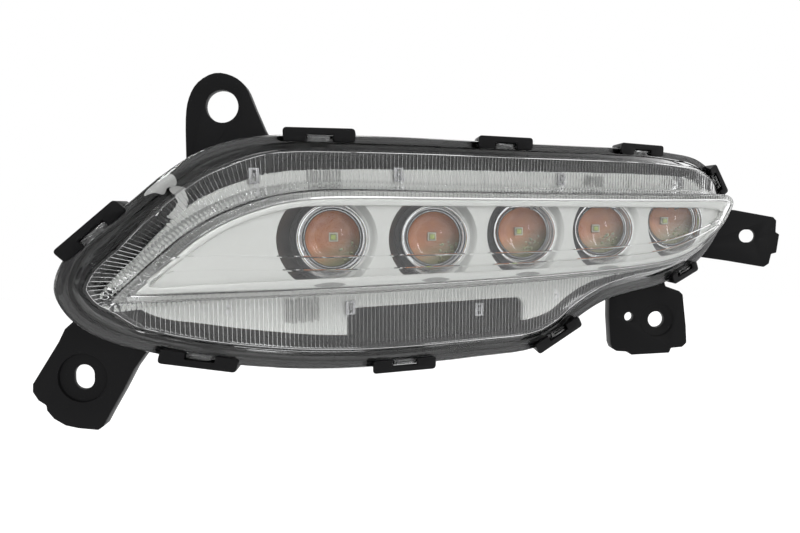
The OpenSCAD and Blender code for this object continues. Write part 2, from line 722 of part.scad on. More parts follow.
// Header for the film circuit, chips and small parts on the front of the board
module board_components() placed() color("#34363a") board_frame() {
    translate(header_at) cube(header);
    translate([-18, -1.6, -4]) cube([9, 1.6, 9]);
    translate([-4, -3.2, 2]) cube([7, 3.2, 7]);
    rod(-22, 5, -5.5, 0, 2.6);
    translate([-6, -1.2, -8]) cube([5, 1.2, 3.5]);
    for (x = [11, 14, 17]) translate([x, -0.8, 5]) cube([1.6, 0.8, 3.2]);
}
module board_screws() placed() color("#8d9094") board_frame()
    for (p = board_holes) translate([p.x, 0, p.y]) intersection() {
        screw();
        rod(0, 0, -2 * head_h, board_shank, 2 * head_r);
    }
module bezel_screws() placed() color("#8d9094")
    for (p = bezel_screw_at) translate([p.x, boss_y(p) + boss_seat, p.y]) screw();

// Keyed connector body, seated in the housing shroud
module connector_socket() placed() color("#2b2c2f") board_frame()
    translate([plug_x, shroud_from, 0]) rotate([-90, 0, 0]) difference() {
        linear_extrude(height = shroud_len - past) slot(plug_half, plug_r);
        translate([0, 0, plug_base])
            linear_extrude(height = shroud_len) slot(plug_half, plug_r - plug_wall);
        for (x = pin_x) translate([x, 0, -past]) cylinder(r = pin_r + 0.05, h = 2 * plug_base);
    }
module connector_pins() placed() color("#c9b26a") board_frame()
    for (x = pin_x) rod(plug_x + x, 0, -pin_r, shroud_from + pin_reach, pin_r);

module vent_cap() placed() color("#2a2a2c") vent_frame() difference() {
    rod(0, 0, vent_h - vent_overlap, vent_h + vent_cap_h, vent_r + vent_cap_wall);
    rod(0, 0, 0, vent_h, vent_r + 0.1);
}

housing();
outer_lens();
lens_seal();
bezel();
lens_ring(0);  // lens_ring_1
lens_ring(1);  // lens_ring_2
lens_ring(2);  // lens_ring_3
lens_ring(3);  // lens_ring_4
lens_ring(4);  // lens_ring_5
condenser_lens(0);  // condenser_lens_1
condenser_lens(1);  // condenser_lens_2
condenser_lens(2);  // condenser_lens_3
condenser_lens(3);  // condenser_lens_4
condenser_lens(4);  // condenser_lens_5
led(0);  // led_1
led(1);  // led_2
led(2);  // led_3
led(3);  // led_4
led(4);  // led_5
flex_circuit();
heat_sink();
heat_sink_screws();
driver_board();
board_components();
board_screws();
bezel_screws();
connector_socket();
connector_pins();
vent_cap();
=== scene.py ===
import math

import bmesh
import bpy
import numpy as np
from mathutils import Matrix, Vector, geometry


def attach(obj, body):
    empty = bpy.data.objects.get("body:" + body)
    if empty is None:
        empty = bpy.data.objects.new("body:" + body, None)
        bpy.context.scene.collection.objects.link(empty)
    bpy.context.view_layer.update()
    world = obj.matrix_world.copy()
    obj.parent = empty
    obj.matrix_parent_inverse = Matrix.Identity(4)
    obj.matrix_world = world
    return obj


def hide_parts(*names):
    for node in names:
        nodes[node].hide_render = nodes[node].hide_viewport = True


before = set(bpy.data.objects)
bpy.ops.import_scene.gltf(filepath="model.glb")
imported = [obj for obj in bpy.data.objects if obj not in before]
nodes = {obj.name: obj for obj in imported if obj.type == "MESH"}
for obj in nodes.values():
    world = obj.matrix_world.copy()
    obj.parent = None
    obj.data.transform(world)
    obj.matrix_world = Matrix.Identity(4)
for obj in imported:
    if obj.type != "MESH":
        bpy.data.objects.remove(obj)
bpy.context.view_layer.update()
print("frame loaded")

# The lamp is drawn in millimetres round its first light: x to the right, y to the back, z up
# Depth t is counted forwards from the face of the ribbed lens, which is part of a big leaning drum
lamp = {
    "radius": 2200.0,
    "sweep": math.radians(30),
    "lean": math.radians(5.5),
    "base": 15.0,
    "leanZ": -4.0,
    "place": (39.8, -12.0, -47.6),  # of the first light, in the frame
    "lights": 5,
    "pitch": 38.0,
    "step": 23.1,  # of each light behind the one before
    "rise": (0.0, -0.5, 1.0, 1.7, 4.8),
}
origin = np.array(lamp["place"])
drawing = {
    "spacing": 1.6,  # of the points along an outline
    "parts": 8,  # of the curve between two outline points
    "foldShare": 0.985,  # a moved point nearer to its line than this share of the move has folded over
    "gridGap": 0.4,  # between a filling grid and its edges, as a share of the grid's spacing
    "merge": 1e-5,
    "tiny": 1e-6,
    "smoothAngle": 32,
    "roundProfile": 0.5,
    "upright": 1e-9,  # an edge that runs less than this in x has no place at one x
    "parallel": 1e-12,
}


def drumY(x, z, t=0.0):
    r, a = lamp["radius"], lamp["sweep"]
    flat = r * math.cos(a) - math.sqrt((r + t) ** 2 - (x + r * math.sin(a)) ** 2)
    return lamp["base"] + flat / math.cos(lamp["lean"]) - (z - lamp["leanZ"]) * math.tan(lamp["lean"])


def onDrum(x, z, t=0.0):
    return (x, drumY(x, z, t), z)


def atDepth(t):
    return lambda x, z: onDrum(x, z, t)


def ringOn(line, t):
    return [onDrum(x, z, t) for x, z in line]


def lightAt(i):
    return (lamp["pitch"] * i, lamp["step"] * i, lamp["rise"][i])


# Outlines
flangePoints = [
    (-90, -16), (-86.5, -5.5), (-78.5, 3.5), (-68, 12), (-57, 22), (-45, 30.5), (-31, 35.5),
    (-18, 37.3), (-4.5, 38), (30, 38.4), (71, 38.3), (107, 38.4), (142, 38.4), (161, 37.4),
    (175, 35.6), (185, 31.2), (192.5, 25), (199, 12), (197, 2), (190, -8.5), (181, -16.8),
    (172.5, -22), (157, -27), (140, -29.5), (125, -32.5), (111, -39), (99.5, -47), (85, -52.2),
    (58, -53), (28, -53), (2, -51.9), (-22, -49), (-47, -44), (-64, -39), (-77, -33.5), (-86, -26)]
eyeFrontPoints = [
    (-64.5, -17.5), (-57, -9.5), (-50, -3), (-43, 3), (-35, 8), (-26, 12), (-16, 15), (-4, 16.6),
    (12, 17), (40, 16.8), (80, 16.6), (118, 16.6), (152, 16.8), (174, 17), (180.8, 16), (183, 13),
    (181, 8.2), (174.8, 0), (162.5, -9.6), (146.5, -14.6), (118, -17.2), (76, -18.7), (32, -19.3),
    (-8, -19.3), (-40, -19), (-58, -18.8)]
eyeBasePoints = [
    (-71.5, -19.5), (-63, -9.5), (-56.5, -3), (-49, 3.8), (-40, 9.8), (-29, 14.6), (-17, 17.2),
    (-4, 18.8), (12, 18.9), (40, 18.4), (80, 18.2), (118, 18), (152, 17.9), (174, 17.8),
    (181.4, 16.8), (184.4, 13), (181.8, 8), (175.3, -0.4), (162.6, -10), (146.5, -15), (118, -17.6),
    (76, -19.1), (32, -19.7), (-8, -19.9), (-40, -20), (-60, -20)]
shelfPoints = [
    (-55, -13.5), (-49, -8), (-42, -2.5), (-32, 4), (-20, 8.8), (-8, 11.2), (10, 11.6), (60, 11.4),
    (105, 11.2), (142, 11), (165, 10.8), (174.5, 9.8), (177, 7.5), (172, 1.5), (161.5, -5.4),
    (146.5, -9.6), (118, -12.1), (76, -12.9), (30, -13), (-10, -13.2), (-38, -13.6)]
trimPoints = [
    (-72, -15.5), (-64, -5), (-56, 4), (-45.5, 13.2), (-34, 19), (-22, 22.8), (-8, 24.6),
    (34, 25.7), (75, 26), (113, 26.4), (155, 26.2), (173, 23.8), (182.5, 16), (183.5, 9),
    (180, -0.5), (163, -11), (138, -17.6), (114, -22.5), (101.5, -29), (90, -36), (70, -38.5),
    (30, -39), (0, -37.5), (-20, -34.8), (-44, -30), (-60, -26)]


# Line tools
def smoothLine(points, parts):
    a = np.array(points, float)
    before, after, later = np.roll(a, 1, 0), np.roll(a, -1, 0), np.roll(a, -2, 0)
    out = []
    for i in range(len(a)):
        p, q, r, s = before[i], a[i], after[i], later[i]
        for k in range(parts):
            u = k / parts
            out.append(0.5 * (2 * q + (r - p) * u + (2 * p - 5 * q + 4 * r - s) * u * u
                              + (3 * q - p - 3 * r + s) * u ** 3))
    return np.array(out)


def closedUp(line):
    return np.vstack([line, line[:1]])


def runAlong(line):
    # Distance from the first point of an open line to each of its points
    return np.concatenate([[0], np.cumsum(np.linalg.norm(np.diff(line, axis=0), axis=1))])


def pointsAt(line, run, at):
    return np.column_stack([np.interp(at, run, line[:, k]) for k in (0, 1)])


def evenLine(line, count):
    closed = closedUp(line)
    run = runAlong(closed)
    return pointsAt(closed, run, np.linspace(0, run[-1], count, endpoint=False))


def lineLength(line):
    return float(np.linalg.norm(np.roll(line, -1, 0) - line, axis=1).sum())


def inwards(line):
    along = np.roll(line, -1, 0) - np.roll(line, 1, 0)
    along /= np.linalg.norm(along, axis=1)[:, None]
    return np.column_stack([along[:, 1], -along[:, 0]])


def distanceTo(points, line):
    a, b = line, np.roll(line, -1, 0)
    d = b - a
    u = ((points[:, None] - a) * d).sum(2) / (d * d).sum(1)
    near = a + np.clip(u, 0, 1)[..., None] * d
    return np.linalg.norm(points[:, None] - near, axis=2).min(1)


def insetLine(line, by):
    # A tight bend would fold the line: points that come too near are run straight
    by = np.broadcast_to(by, len(line))
    if np.abs(by).max() < drawing["tiny"]:
        return line.copy()
    moved = line + inwards(line) * by[:, None]
    good = distanceTo(moved, line) > np.abs(by) * drawing["foldShare"]
    if good.all() or not good.any():
        return moved
    index = np.arange(len(line))
    kept = index[good]
    wide = np.concatenate([kept - len(line), kept, kept + len(line)])
    for k in (0, 1):
        moved[:, k] = np.interp(index, wide, np.tile(moved[kept, k], 3))
    return moved


def spanAt(line, x):
    # Lowest and highest z of a closed line at x
    a, b = line, np.roll(line, -1, 0)
    hit = ((a[:, 0] - x) * (b[:, 0] - x) <= 0) & (np.abs(b[:, 0] - a[:, 0]) > drawing["upright"])
    u = (x - a[hit, 0]) / (b[hit, 0] - a[hit, 0])
    z = a[hit, 1] + u * (b[hit, 1] - a[hit, 1])
    return float(z.min()), float(z.max())


def outline(points):
    line = smoothLine(points, drawing["parts"])
    return evenLine(line, int(lineLength(line) / drawing["spacing"]))


flangeLine = outline(flangePoints)
shelfLine = outline(shelfPoints)
trimLine = outline(trimPoints)
eyeLine = outline(eyeFrontPoints)


# Mesh tools
def inMetres(point):
    return [(c + o) / 1000 for c, o in zip(point, lamp["place"])]


def drawnAt(vertex):
    # Place of a vertex in the lamp's millimetres
    return np.array(vertex.co) * 1000 - origin


def linked(name, data):
    made = bpy.data.objects.new(name, data)
    bpy.context.scene.collection.objects.link(made)
    return made


def soften(mesh):
    mesh.polygons.foreach_set("use_smooth", [True] * len(mesh.polygons))
    mesh.set_sharp_from_angle(angle=math.radians(drawing["smoothAngle"]))


def addPiece(name, points, faces, materials, tints=None, weld=0.0, turn=True):
    mesh = bpy.data.meshes.new(name)
    mesh.from_pydata([inMetres(p) for p in points], [], faces)
    for material in materials:
        mesh.materials.append(material)
    if tints:
        mesh.polygons.foreach_set("material_index", tints)
    if weld:
        work = bmesh.new()
        work.from_mesh(mesh)
        bmesh.ops.remove_doubles(work, verts=work.verts, dist=weld / 1000)
        bmesh.ops.dissolve_degenerate(work, edges=work.edges, dist=weld / 1000)
        if turn:
            bmesh.ops.recalc_face_normals(work, faces=work.faces)
        work.to_mesh(mesh)
        work.free()
    soften(mesh)
    return linked(name, mesh)


def applied(piece):
    # Keeps what the modifiers make as the piece's own mesh
    bpy.context.view_layer.update()
    graph = bpy.context.evaluated_depsgraph_get()
    mesh = bpy.data.meshes.new_from_object(piece.evaluated_get(graph))
    piece.modifiers.clear()
    piece.data = mesh
    soften(mesh)
    return piece


def thicken(piece, wall):
    solid = piece.modifiers.new("wall", "SOLIDIFY")
    solid.thickness = wall / 1000
    solid.offset = -1.0
    return applied(piece)


def addShade(piece, values):
    shade = piece.data.attributes.new("shade", "FLOAT", "POINT")
    shade.data.foreach_set("value", values)


class Shape:
    # Gathers the points and faces of one piece
    def __init__(self):
        self.points = []
        self.faces = []
        self.tints = []
        self.tint = 0  # material slot of the faces that come next

    def face(self, corners, flip=False):
        self.faces.append(corners[::-1] if flip else corners)
        self.tints.append(self.tint)

    def rings(self, rings, closed=True, loop=False, flip=False):
        first = len(self.points)
        count = len(rings[0])
        for ring in rings:
            self.points.extend(ring)
        for j in range(len(rings) if loop else len(rings) - 1):
            a, b = first + j * count, first + (j + 1) % len(rings) * count
            for i in range(count if closed else count - 1):
                n = (i + 1) % count
                self.face((a + i, a + n, b + n, b + i), flip)

    def block(self, front, back):
        self.rings([front, back])
        for ring, flip in ((front, True), (back, False)):
            first = len(self.points)
            self.points.extend(ring)
            self.face(list(range(first, first + len(ring))), flip)

    def region(self, outer, holes, depth, spacing, flip=False, extra=()):
        points, faces = fillRegion(outer, holes, spacing, extra)
        first = len(self.points)
        self.points.extend(depth(x, z) for x, z in points)
        for f in faces:
            self.face([first + k for k in f], flip)

    def make(self, name, *materials, weld=0.0, turn=True):
        return addPiece(name, self.points, self.faces, materials, self.tints, weld, turn)


def insideOf(points, line):
    a, b = line, np.roll(line, -1, 0)
    x, z = points[:, 0][:, None], points[:, 1][:, None]
    cross = (a[:, 1] > z) != (b[:, 1] > z)
    with np.errstate(divide="ignore", invalid="ignore"):
        at = a[:, 0] + (z - a[:, 1]) * (b[:, 0] - a[:, 0]) / (b[:, 1] - a[:, 1])
    return (cross & (x < at)).sum(1) % 2 == 1


def fillRegion(outer, holes, spacing, extra):
    # Triangles between an outline and its holes, with a grid of points inside
    low, high = outer.min(0), outer.max(0)
    gap = spacing * drawing["gridGap"]
    grid = np.array([(x, z) for x in np.arange(low[0], high[0], spacing)
                     for z in np.arange(low[1], high[1], spacing)]).reshape(-1, 2)
    if len(grid):
        keep = insideOf(grid, outer) & (distanceTo(grid, outer) > gap)
        for hole in holes:
            keep &= ~insideOf(grid, hole) & (distanceTo(grid, hole) > gap)
        grid = grid[keep]
    points, edges = [], []
    for ring in [outer, *holes]:
        first = len(points)
        points.extend(map(tuple, ring))
        edges.extend((first + i, first + (i + 1) % len(ring)) for i in range(len(ring)))
    for run in extra:
        first = len(points)
        points.extend(map(tuple, run))
        edges.extend((first + i, first + i + 1) for i in range(len(run) - 1))
    points.extend(map(tuple, grid))
    made = geometry.delaunay_2d_cdt([Vector(p) for p in points], edges, [], 1, drawing["merge"])
    flat = np.array([tuple(p) for p in made[0]])
    faces = [list(f) for f in made[2]]
    middle = np.array([flat[f].mean(0) for f in faces])
    keep = insideOf(middle, outer)
    for hole in holes:
        keep &= ~insideOf(middle, hole)
    out = []
    for f, k in zip(faces, keep):
        if k:
            p, q, r = flat[f][:3]
            turn = (q[0] - p[0]) * (r[1] - p[1]) - (q[1] - p[1]) * (r[0] - p[0])
            out.append(f if turn > 0 else f[::-1])  # seen from the front, anticlockwise
    return [tuple(p) for p in flat], out


def sweepSection(shape, line, section):
    # Section of (inset, depth) pairs, carried round an outline
    shape.rings([ringOn(insetLine(line, by), t) for by, t in section], flip=True)


def finish(piece, replaced):
    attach(piece, "root")
    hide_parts(replaced)


# Shader tools
surface = {
    "grain": 1500.0,
    "blotch": 60.0,
    "bump": 0.15,
    "bumpDepth": 0.0002,
    "dust": (0.30, 0.29, 0.27),
    "coatRough": 0.05,
    "clearGrain": 320.0,
    "clearBlotch": 90.0,
    "clearBump": 0.0001,
    "clearSpread": 2.5,  # roughness of the roughest place against the smoothest
    "clearShadow": (0.97, 0.98, 0.98),
}
mixSocket = {"share": 0, "first": 6, "second": 7, "result": 2}


def link(tree, *pairs):
    for start, end in pairs:
        tree.links.new(start, end)


def node(tree, kind, **values):
    # Shader or geometry node: in_ before a name sets a socket, the rest are the node's own settings
    made = tree.nodes.new(kind)
    for key, value in values.items():
        if key.startswith("in_"):
            made.inputs[key[3:].replace("_", " ")].default_value = value
        else:
            setattr(made, key, value)
    return made


def maths(tree, operation, a, b=0.0):
    made = node(tree, "ShaderNodeMath", operation=operation)
    for socket, value in zip(made.inputs, (a, b)):
        if hasattr(value, "links"):
            link(tree, (value, socket))
        else:
            socket.default_value = value
    return made.outputs[0]


def blended(tree, colour, second, share):
    # Carries a colour, fixed or from a socket, towards a second one
    mix = node(tree, "ShaderNodeMix", data_type="RGBA")
    mix.inputs[mixSocket["second"]].default_value = (*second, 1)
    if hasattr(colour, "links"):
        link(tree, (colour, mix.inputs[mixSocket["first"]]))
    else:
        mix.inputs[mixSocket["first"]].default_value = (*colour, 1)
    link(tree, (share, mix.inputs[mixSocket["share"]]))
    return mix.outputs[mixSocket["result"]]


def newGroup(name, inputs, outputs):
    group = bpy.data.node_groups.new(name, "ShaderNodeTree")
    for label, value in inputs:
        socket = group.interface.new_socket(label, in_out="INPUT", socket_type="NodeSocketFloat")
        socket.default_value = value
    for label in outputs:
        group.interface.new_socket(label, in_out="OUTPUT", socket_type="NodeSocketFloat")
    return group, group.nodes.new("NodeGroupInput"), group.nodes.new("NodeGroupOutput")


def useGroup(tree, group, values):
    made = tree.nodes.new("ShaderNodeGroup")
    made.node_tree = group
    for key, value in values.items():
        made.inputs[key].default_value = value
    return made


def grainGroup():
    # Fine moulded grain: a height, and a slow blotch for the roughness
    group, given, put = newGroup("mouldGrain", [("Grain", surface["grain"]), ("Blotch", surface["blotch"])],
                                 ["Height", "Mask"])
    coords = group.nodes.new("ShaderNodeTexCoord")
    fine = node(group, "ShaderNodeTexNoise", in_Detail=3.0, in_Roughness=0.6)
    slow = node(group, "ShaderNodeTexNoise", in_Detail=4.0, in_Roughness=0.55)
    for noise, size, result in ((fine, "Grain", "Height"), (slow, "Blotch", "Mask")):
        link(group, (coords.outputs["Object"], noise.inputs["Vector"]),
             (given.outputs[size], noise.inputs["Scale"]), (noise.outputs["Fac"], put.inputs[result]))
    return group


def dustGroup():
    # Dust that settles on faces turned up
    group, given, put = newGroup("settledDust", [("Amount", 0.2), ("Scale", 160.0)], ["Mask"])
    coords = group.nodes.new("ShaderNodeTexCoord")
    shape = group.nodes.new("ShaderNodeNewGeometry")
    split = group.nodes.new("ShaderNodeSeparateXYZ")
    noise = node(group, "ShaderNodeTexNoise", in_Detail=5.0)
    link(group, (coords.outputs["Object"], noise.inputs["Vector"]),
         (given.outputs["Scale"], noise.inputs["Scale"]), (shape.outputs["Normal"], split.inputs[0]))
    spots = maths(group, "MULTIPLY", noise.outputs["Fac"], maths(group, "MAXIMUM", split.outputs["Z"]))
    link(group, (maths(group, "MULTIPLY", spots, given.outputs["Amount"]), put.inputs["Mask"]))
    return group


grain, dust = grainGroup(), dustGroup()


def newMaterial(name):
    material = bpy.data.materials.new(name)
    material.use_nodes = True
    tree = material.node_tree
    return material, tree, tree.nodes["Principled BSDF"]


def grained(tree, shader, sizes, rough, strength, depth):
    # Lets the grain vary the roughness and bump the surface, and gives back its slow mask
    made = useGroup(tree, grain, dict(zip(("Grain", "Blotch"), sizes)))
    spread = node(tree, "ShaderNodeMapRange", in_To_Min=rough[0], in_To_Max=rough[1])
    bump = node(tree, "ShaderNodeBump", in_Strength=strength, in_Distance=depth)
    link(tree, (made.outputs["Mask"], spread.inputs["Value"]),
         (spread.outputs["Result"], shader.inputs["Roughness"]),
         (made.outputs["Height"], bump.inputs["Height"]), (bump.outputs["Normal"], shader.inputs["Normal"]))
    return made.outputs["Mask"]


def plainFinish(name, values):
    # Opaque finish: a colour that drifts to a second one, grain in the roughness and a fine bump
    material, tree, shader = newMaterial(name)
    sizes = [values.get(key, surface[key]) for key in ("grain", "blotch")]
    mask = grained(tree, shader, sizes, values["rough"], values.get("bump", surface["bump"]),
                   surface["bumpDepth"])
    colour = blended(tree, values["colour"], values.get("second", values["colour"]), mask)
    # The shade attribute carries the colour to a third one: painted shade on the silver bezel, and the film's
    # own green on the film circuit
    if "shade" in values:
        mark = node(tree, "ShaderNodeAttribute", attribute_name="shade")
        colour = blended(tree, colour, values["shade"], mark.outputs["Fac"])
    if "dust" in values:
        settled = useGroup(tree, dust, {"Amount": values["dust"]})
        colour = blended(tree, colour, surface["dust"], settled.outputs["Mask"])
    link(tree, (colour, shader.inputs["Base Color"]))
    for label, key, usual in (("Metallic", "metal", 0.0), ("Specular IOR Level", "specular", 0.5),
                              ("Coat Weight", "coat", 0.0)):
        shader.inputs[label].default_value = values.get(key, usual)
    shader.inputs["Coat Roughness"].default_value = surface["coatRough"]
    return material


def clearFinish(name, colour, ior, rough, wave, scale=surface["clearGrain"]):
    # Clear plastic that lets the lamps through
    material, tree, shader = newMaterial(name)
    shader.inputs["Base Color"].default_value = (*colour, 1)
    shader.inputs["Transmission Weight"].default_value = 1.0
    shader.inputs["IOR"].default_value = ior
    grained(tree, shader, (scale, surface["clearBlotch"]), (rough, rough * surface["clearSpread"]), wave,
            surface["clearBump"])
    through = node(tree, "ShaderNodeBsdfTransparent", in_Color=(*surface["clearShadow"], 1))
    path = tree.nodes.new("ShaderNodeLightPath")
    mix = tree.nodes.new("ShaderNodeMixShader")
    link(tree, (path.outputs["Is Shadow Ray"], mix.inputs[0]), (shader.outputs[0], mix.inputs[1]),
         (through.outputs[0], mix.inputs[2]),
         (mix.outputs[0], tree.nodes["Material Output"].inputs["Surface"]))
    return material


finishes = {
    "housingBlack": dict(colour=(0.006, 0.006, 0.0066), second=(0.010, 0.010, 0.0106),
                         rough=(0.38, 0.56), bump=0.35, dust=0.02, specular=0.1),
    "sealDark": dict(colour=(0.012, 0.012, 0.012), second=(0.018, 0.018, 0.018), rough=(0.5, 0.7),
                     bump=0.3, specular=0.2),
    # bezelSilver's shade colour is painted shade: the dark on the left of the wells and along the eye's edge
    "bezelSilver": dict(colour=(0.54, 0.545, 0.525), second=(0.58, 0.585, 0.565), rough=(0.36, 0.46),
                        metal=0.15, bump=0.06, grain=2600.0, shade=(0.012, 0.012, 0.013)),
    "clipGrey": dict(colour=(0.26, 0.26, 0.27), second=(0.50, 0.50, 0.51), rough=(0.15, 0.3),
                     blotch=800.0, metal=0.5),
    "speckleGreen": dict(colour=(0.20, 0.23, 0.07), second=(0.42, 0.40, 0.24), rough=(0.2, 0.35),
                         blotch=900.0),
    "paleKey": dict(colour=(0.44, 0.44, 0.43), second=(0.50, 0.50, 0.49), rough=(0.2, 0.35), bump=0.1),
    "hatchGrey": dict(colour=(0.16, 0.16, 0.155), second=(0.3, 0.3, 0.29), rough=(0.3, 0.5),
                      blotch=700.0),
    "ringChrome": dict(colour=(0.90, 0.91, 0.92), rough=(0.03, 0.08), metal=1.0, bump=0.03),
    "ledCream": dict(colour=(0.45, 0.44, 0.34), second=(0.52, 0.5, 0.38), rough=(0.35, 0.5)),
    "windowOlive": dict(colour=(0.16, 0.17, 0.07), second=(0.22, 0.23, 0.1), rough=(0.3, 0.5)),
    "chipYellow": dict(colour=(0.42, 0.50, 0.06), second=(0.36, 0.45, 0.08), rough=(0.3, 0.5),
                       grain=4000.0),
    "filmCopper": dict(colour=(0.30, 0.055, 0.006), second=(0.54, 0.19, 0.03), rough=(0.3, 0.5),
                       blotch=420.0, bump=0.3, shade=(0.17, 0.17, 0.07)),
    "sinkAluminium": dict(colour=(0.56, 0.57, 0.58), rough=(0.3, 0.5), metal=1.0, bump=0.1),
    "screwSteel": dict(colour=(0.5, 0.5, 0.5), rough=(0.25, 0.4), metal=1.0),
    "boardGreen": dict(colour=(0.02, 0.12, 0.05), second=(0.03, 0.15, 0.07), rough=(0.25, 0.4), coat=0.4),
    "componentDark": dict(colour=(0.03, 0.03, 0.033), rough=(0.4, 0.6)),
    "connectorBlack": dict(colour=(0.022, 0.022, 0.024), rough=(0.35, 0.5), bump=0.2),
    "pinBrass": dict(colour=(0.68, 0.5, 0.2), rough=(0.2, 0.35), metal=1.0),
    "ventRubber": dict(colour=(0.025, 0.025, 0.025), rough=(0.6, 0.8), bump=0.3),
}
clearFinishes = {
    "lensClear": dict(colour=(0.985, 0.99, 0.99), ior=1.41, rough=0.012, wave=0.02),
    "lensFrosted": dict(colour=(0.98, 0.985, 0.985), ior=1.45, rough=0.05, wave=0.9, scale=900.0),
    "lensMatt": dict(colour=(0.8, 0.8, 0.8), ior=1.12, rough=0.08, wave=0.3, scale=900.0),
    "domeClear": dict(colour=(0.99, 0.99, 0.985), ior=1.42, rough=0.01, wave=0.02),
}
look = {name: plainFinish(name, values) for name, values in finishes.items()}
for name, values in clearFinishes.items():
    look[name] = clearFinish(name, **values)
print("finishes made")

# CAD pieces that stay as they are
kept = {
    "lens_seal": "sealDark", "heat_sink": "sinkAluminium", "heat_sink_screws": "screwSteel",
    "driver_board": "boardGreen", "board_components": "componentDark", "board_screws": "screwSteel",
    "bezel_screws": "screwSteel", "connector_socket": "connectorBlack", "connector_pins": "pinBrass",
    "vent_cap": "ventRubber",
}
for name, material in kept.items():
    data = nodes[name].data
    data.materials.clear()
    data.materials.append(look[material])
print("CAD pieces dressed")

# Clear lens: a ribbed sheet inside a stepped flange, with the eye standing out of it
lens = {
    "wall": 2.2,
    "flangeWidth": 8.0,
    "sideWall": 0.9,
    "mattBand": 3.0,
    # How much further in the ribbed face starts, from which place and over what run
    "shiftLeft": (2.0, -76, 8),
    "shiftTop": (-2.1, 22, 8),
    "shiftTopFrom": (-40, 20),
    "flangeFront": -8.0,
    "tongue": (2.75, 4.75, -15.7),  # outer and inner face from the edge, and its tip
    "tongueEnd": 0.2,
    "bend": 0.3,
    "foot": 0.12,  # where the side wall meets the ribs
    "flangeEdge": 0.35,
    # Rounded corners of the flange and of the side wall, as inset and depth
    "flangeCorner": ((0.0, -0.45), (0.15, -0.12), (0.5, 0.0)),
    "wallStart": ((-0.6, 0.0), (-0.2, 0.15), (0.0, 0.6)),
    "wallEnd": ((0.0, -0.7), (0.1, -0.3), (0.25, -0.1), (0.6, 0.0)),
    "eyeFront": 26.0,
    "ribPitch": 1.5,
    "ridge": (0.10, 0.112),  # half width and height of a rib
    "sideRaise": (0.92, 1.15),  # share of that height for the ribs below and above the eye
    "fanRaise": 1.0,  # and for the ribs of the fan and the right end
    "ribEnds": (0.0, 0.01, 0.99, 1.0),
    "ribGap": (0.05, 0.3),  # of the last rib to the tips of the eye and of the face
    "fanTop": -22.0,  # left of this the upper ribs fan out round the end
    "fanLow": -64.0,
    "fanCorner": ((-80.0, -24.0), (-69.0, -17.9)),
    "fanRibs": (11, 48),
    "leftFade": (-18, 45),  # where the left end starts to change the bead row, and over what run
    "beadRow": (1.4, 3.2),  # width on the right and at the left end
    "beadHeight": (0.5, 1.4),
    "beadRings": 7,
    "beadParts": 6,
    "curveParts": 60,
    # Side wall of the eye: share of the way to the front outline, and depth from the face or from the front
    "wallRise": ((0.0, 0.4), (0.25, 6.5), (0.5, 13.0)),
    "wallSink": ((0.75, 6.5), (0.95, 1.4)),
    "rim": ((0.1, 0.7, 1), (0.35, 0.28, 1), (0.8, 0.06, 1), (1.2, 0.0, 0)),  # inset, depth, and if dotted
    "dots": (0.12, 3),  # height at the left end, and how fast they reach it
    "innerRows": (0.0, 0.33, 0.66, 0.98),
    "innerCorner": 0.5,
    "crease": 0.3,
    "creaseHalf": 0.35,
    "creaseApart": 1.2,
    "creaseSpan": (-48, 176, 3.0),
    "slopes": (0.05, 0.24),
    "frostFrom": -50.0,  # the facet below the lower crease is textured from here to the right
    "grid": (8.0, 4.0),  # of the points in the sheet, and in the eye's front
    "weld": 0.004,
}
upperCrease = [(-62, -8), (-48, -4), (1, -6), (40, -6.2), (76, -6.6), (119, -5.7), (148, -3.5), (177, 6),
               (184, 10)]
lowerCrease = [(-62, -12), (-51, -8.5), (1, -10.6), (40, -10.8), (76, -10.8), (119, -9.5), (148, -7.5),
               (177, 4), (184, 8)]


def creaseLine(points, steps=240, soft=25):
    # Soft run through the points, as a function of x
    xs, zs = zip(*points)
    fine = np.linspace(xs[0], xs[-1], steps)
    rough = np.interp(fine, xs, zs)
    line = np.convolve(np.pad(rough, soft // 2, mode="edge"), np.ones(soft) / soft, mode="valid")
    return lambda x: float(np.interp(x, fine, line))


upperAt, lowerAt = creaseLine(upperCrease), creaseLine(lowerCrease)


def eyeDepth(x, z):
    # Front of the eye: flat above the creases, falling away below each of them
    high, low = upperAt(x), min(lowerAt(x), upperAt(x) - lens["creaseApart"])
    depth = lens["eyeFront"]
    if z < high:
        depth -= lens["slopes"][0] * (high - max(z, low))
    if z < low:
        depth -= lens["slopes"][1] * (low - z)
    for line in (high, low):
        depth -= lens["crease"] * max(0.0, 1 - abs(z - line) / lens["creaseHalf"])
    return depth


def eyeRings():
    # The two outlines of the eye, matched point by point and even along the base, and how many beads it has
    base, front = [closedUp(smoothLine(points, lens["curveParts"]))
                   for points in (eyeBasePoints, eyeFrontPoints)]
    run = runAlong(base)
    beads = round(run[-1] / lens["ribPitch"])
    index = np.arange(len(base))
    place = np.interp(np.linspace(0, run[-1], beads * lens["beadParts"], endpoint=False), run, index)
    return pointsAt(base, index, place), pointsAt(front, index, place), beads


def leftShare(points):
    # 1 at the left end of the eye, 0 to the right of the fan
    start, run = lens["leftFade"]
    return np.clip((start - points[:, 0]) / run, 0, 1)


def arcBetween(line, start, end, count):
    # Even points along a closed line, clockwise from near start to near end
    i, j = [int(np.linalg.norm(line - np.array(place), axis=1).argmin()) for place in (start, end)]
    part = np.roll(line, -i, 0)[:(j - i) % len(line) + 1]
    run = runAlong(part)
    return pointsAt(part, run, np.linspace(0, run[-1], count))


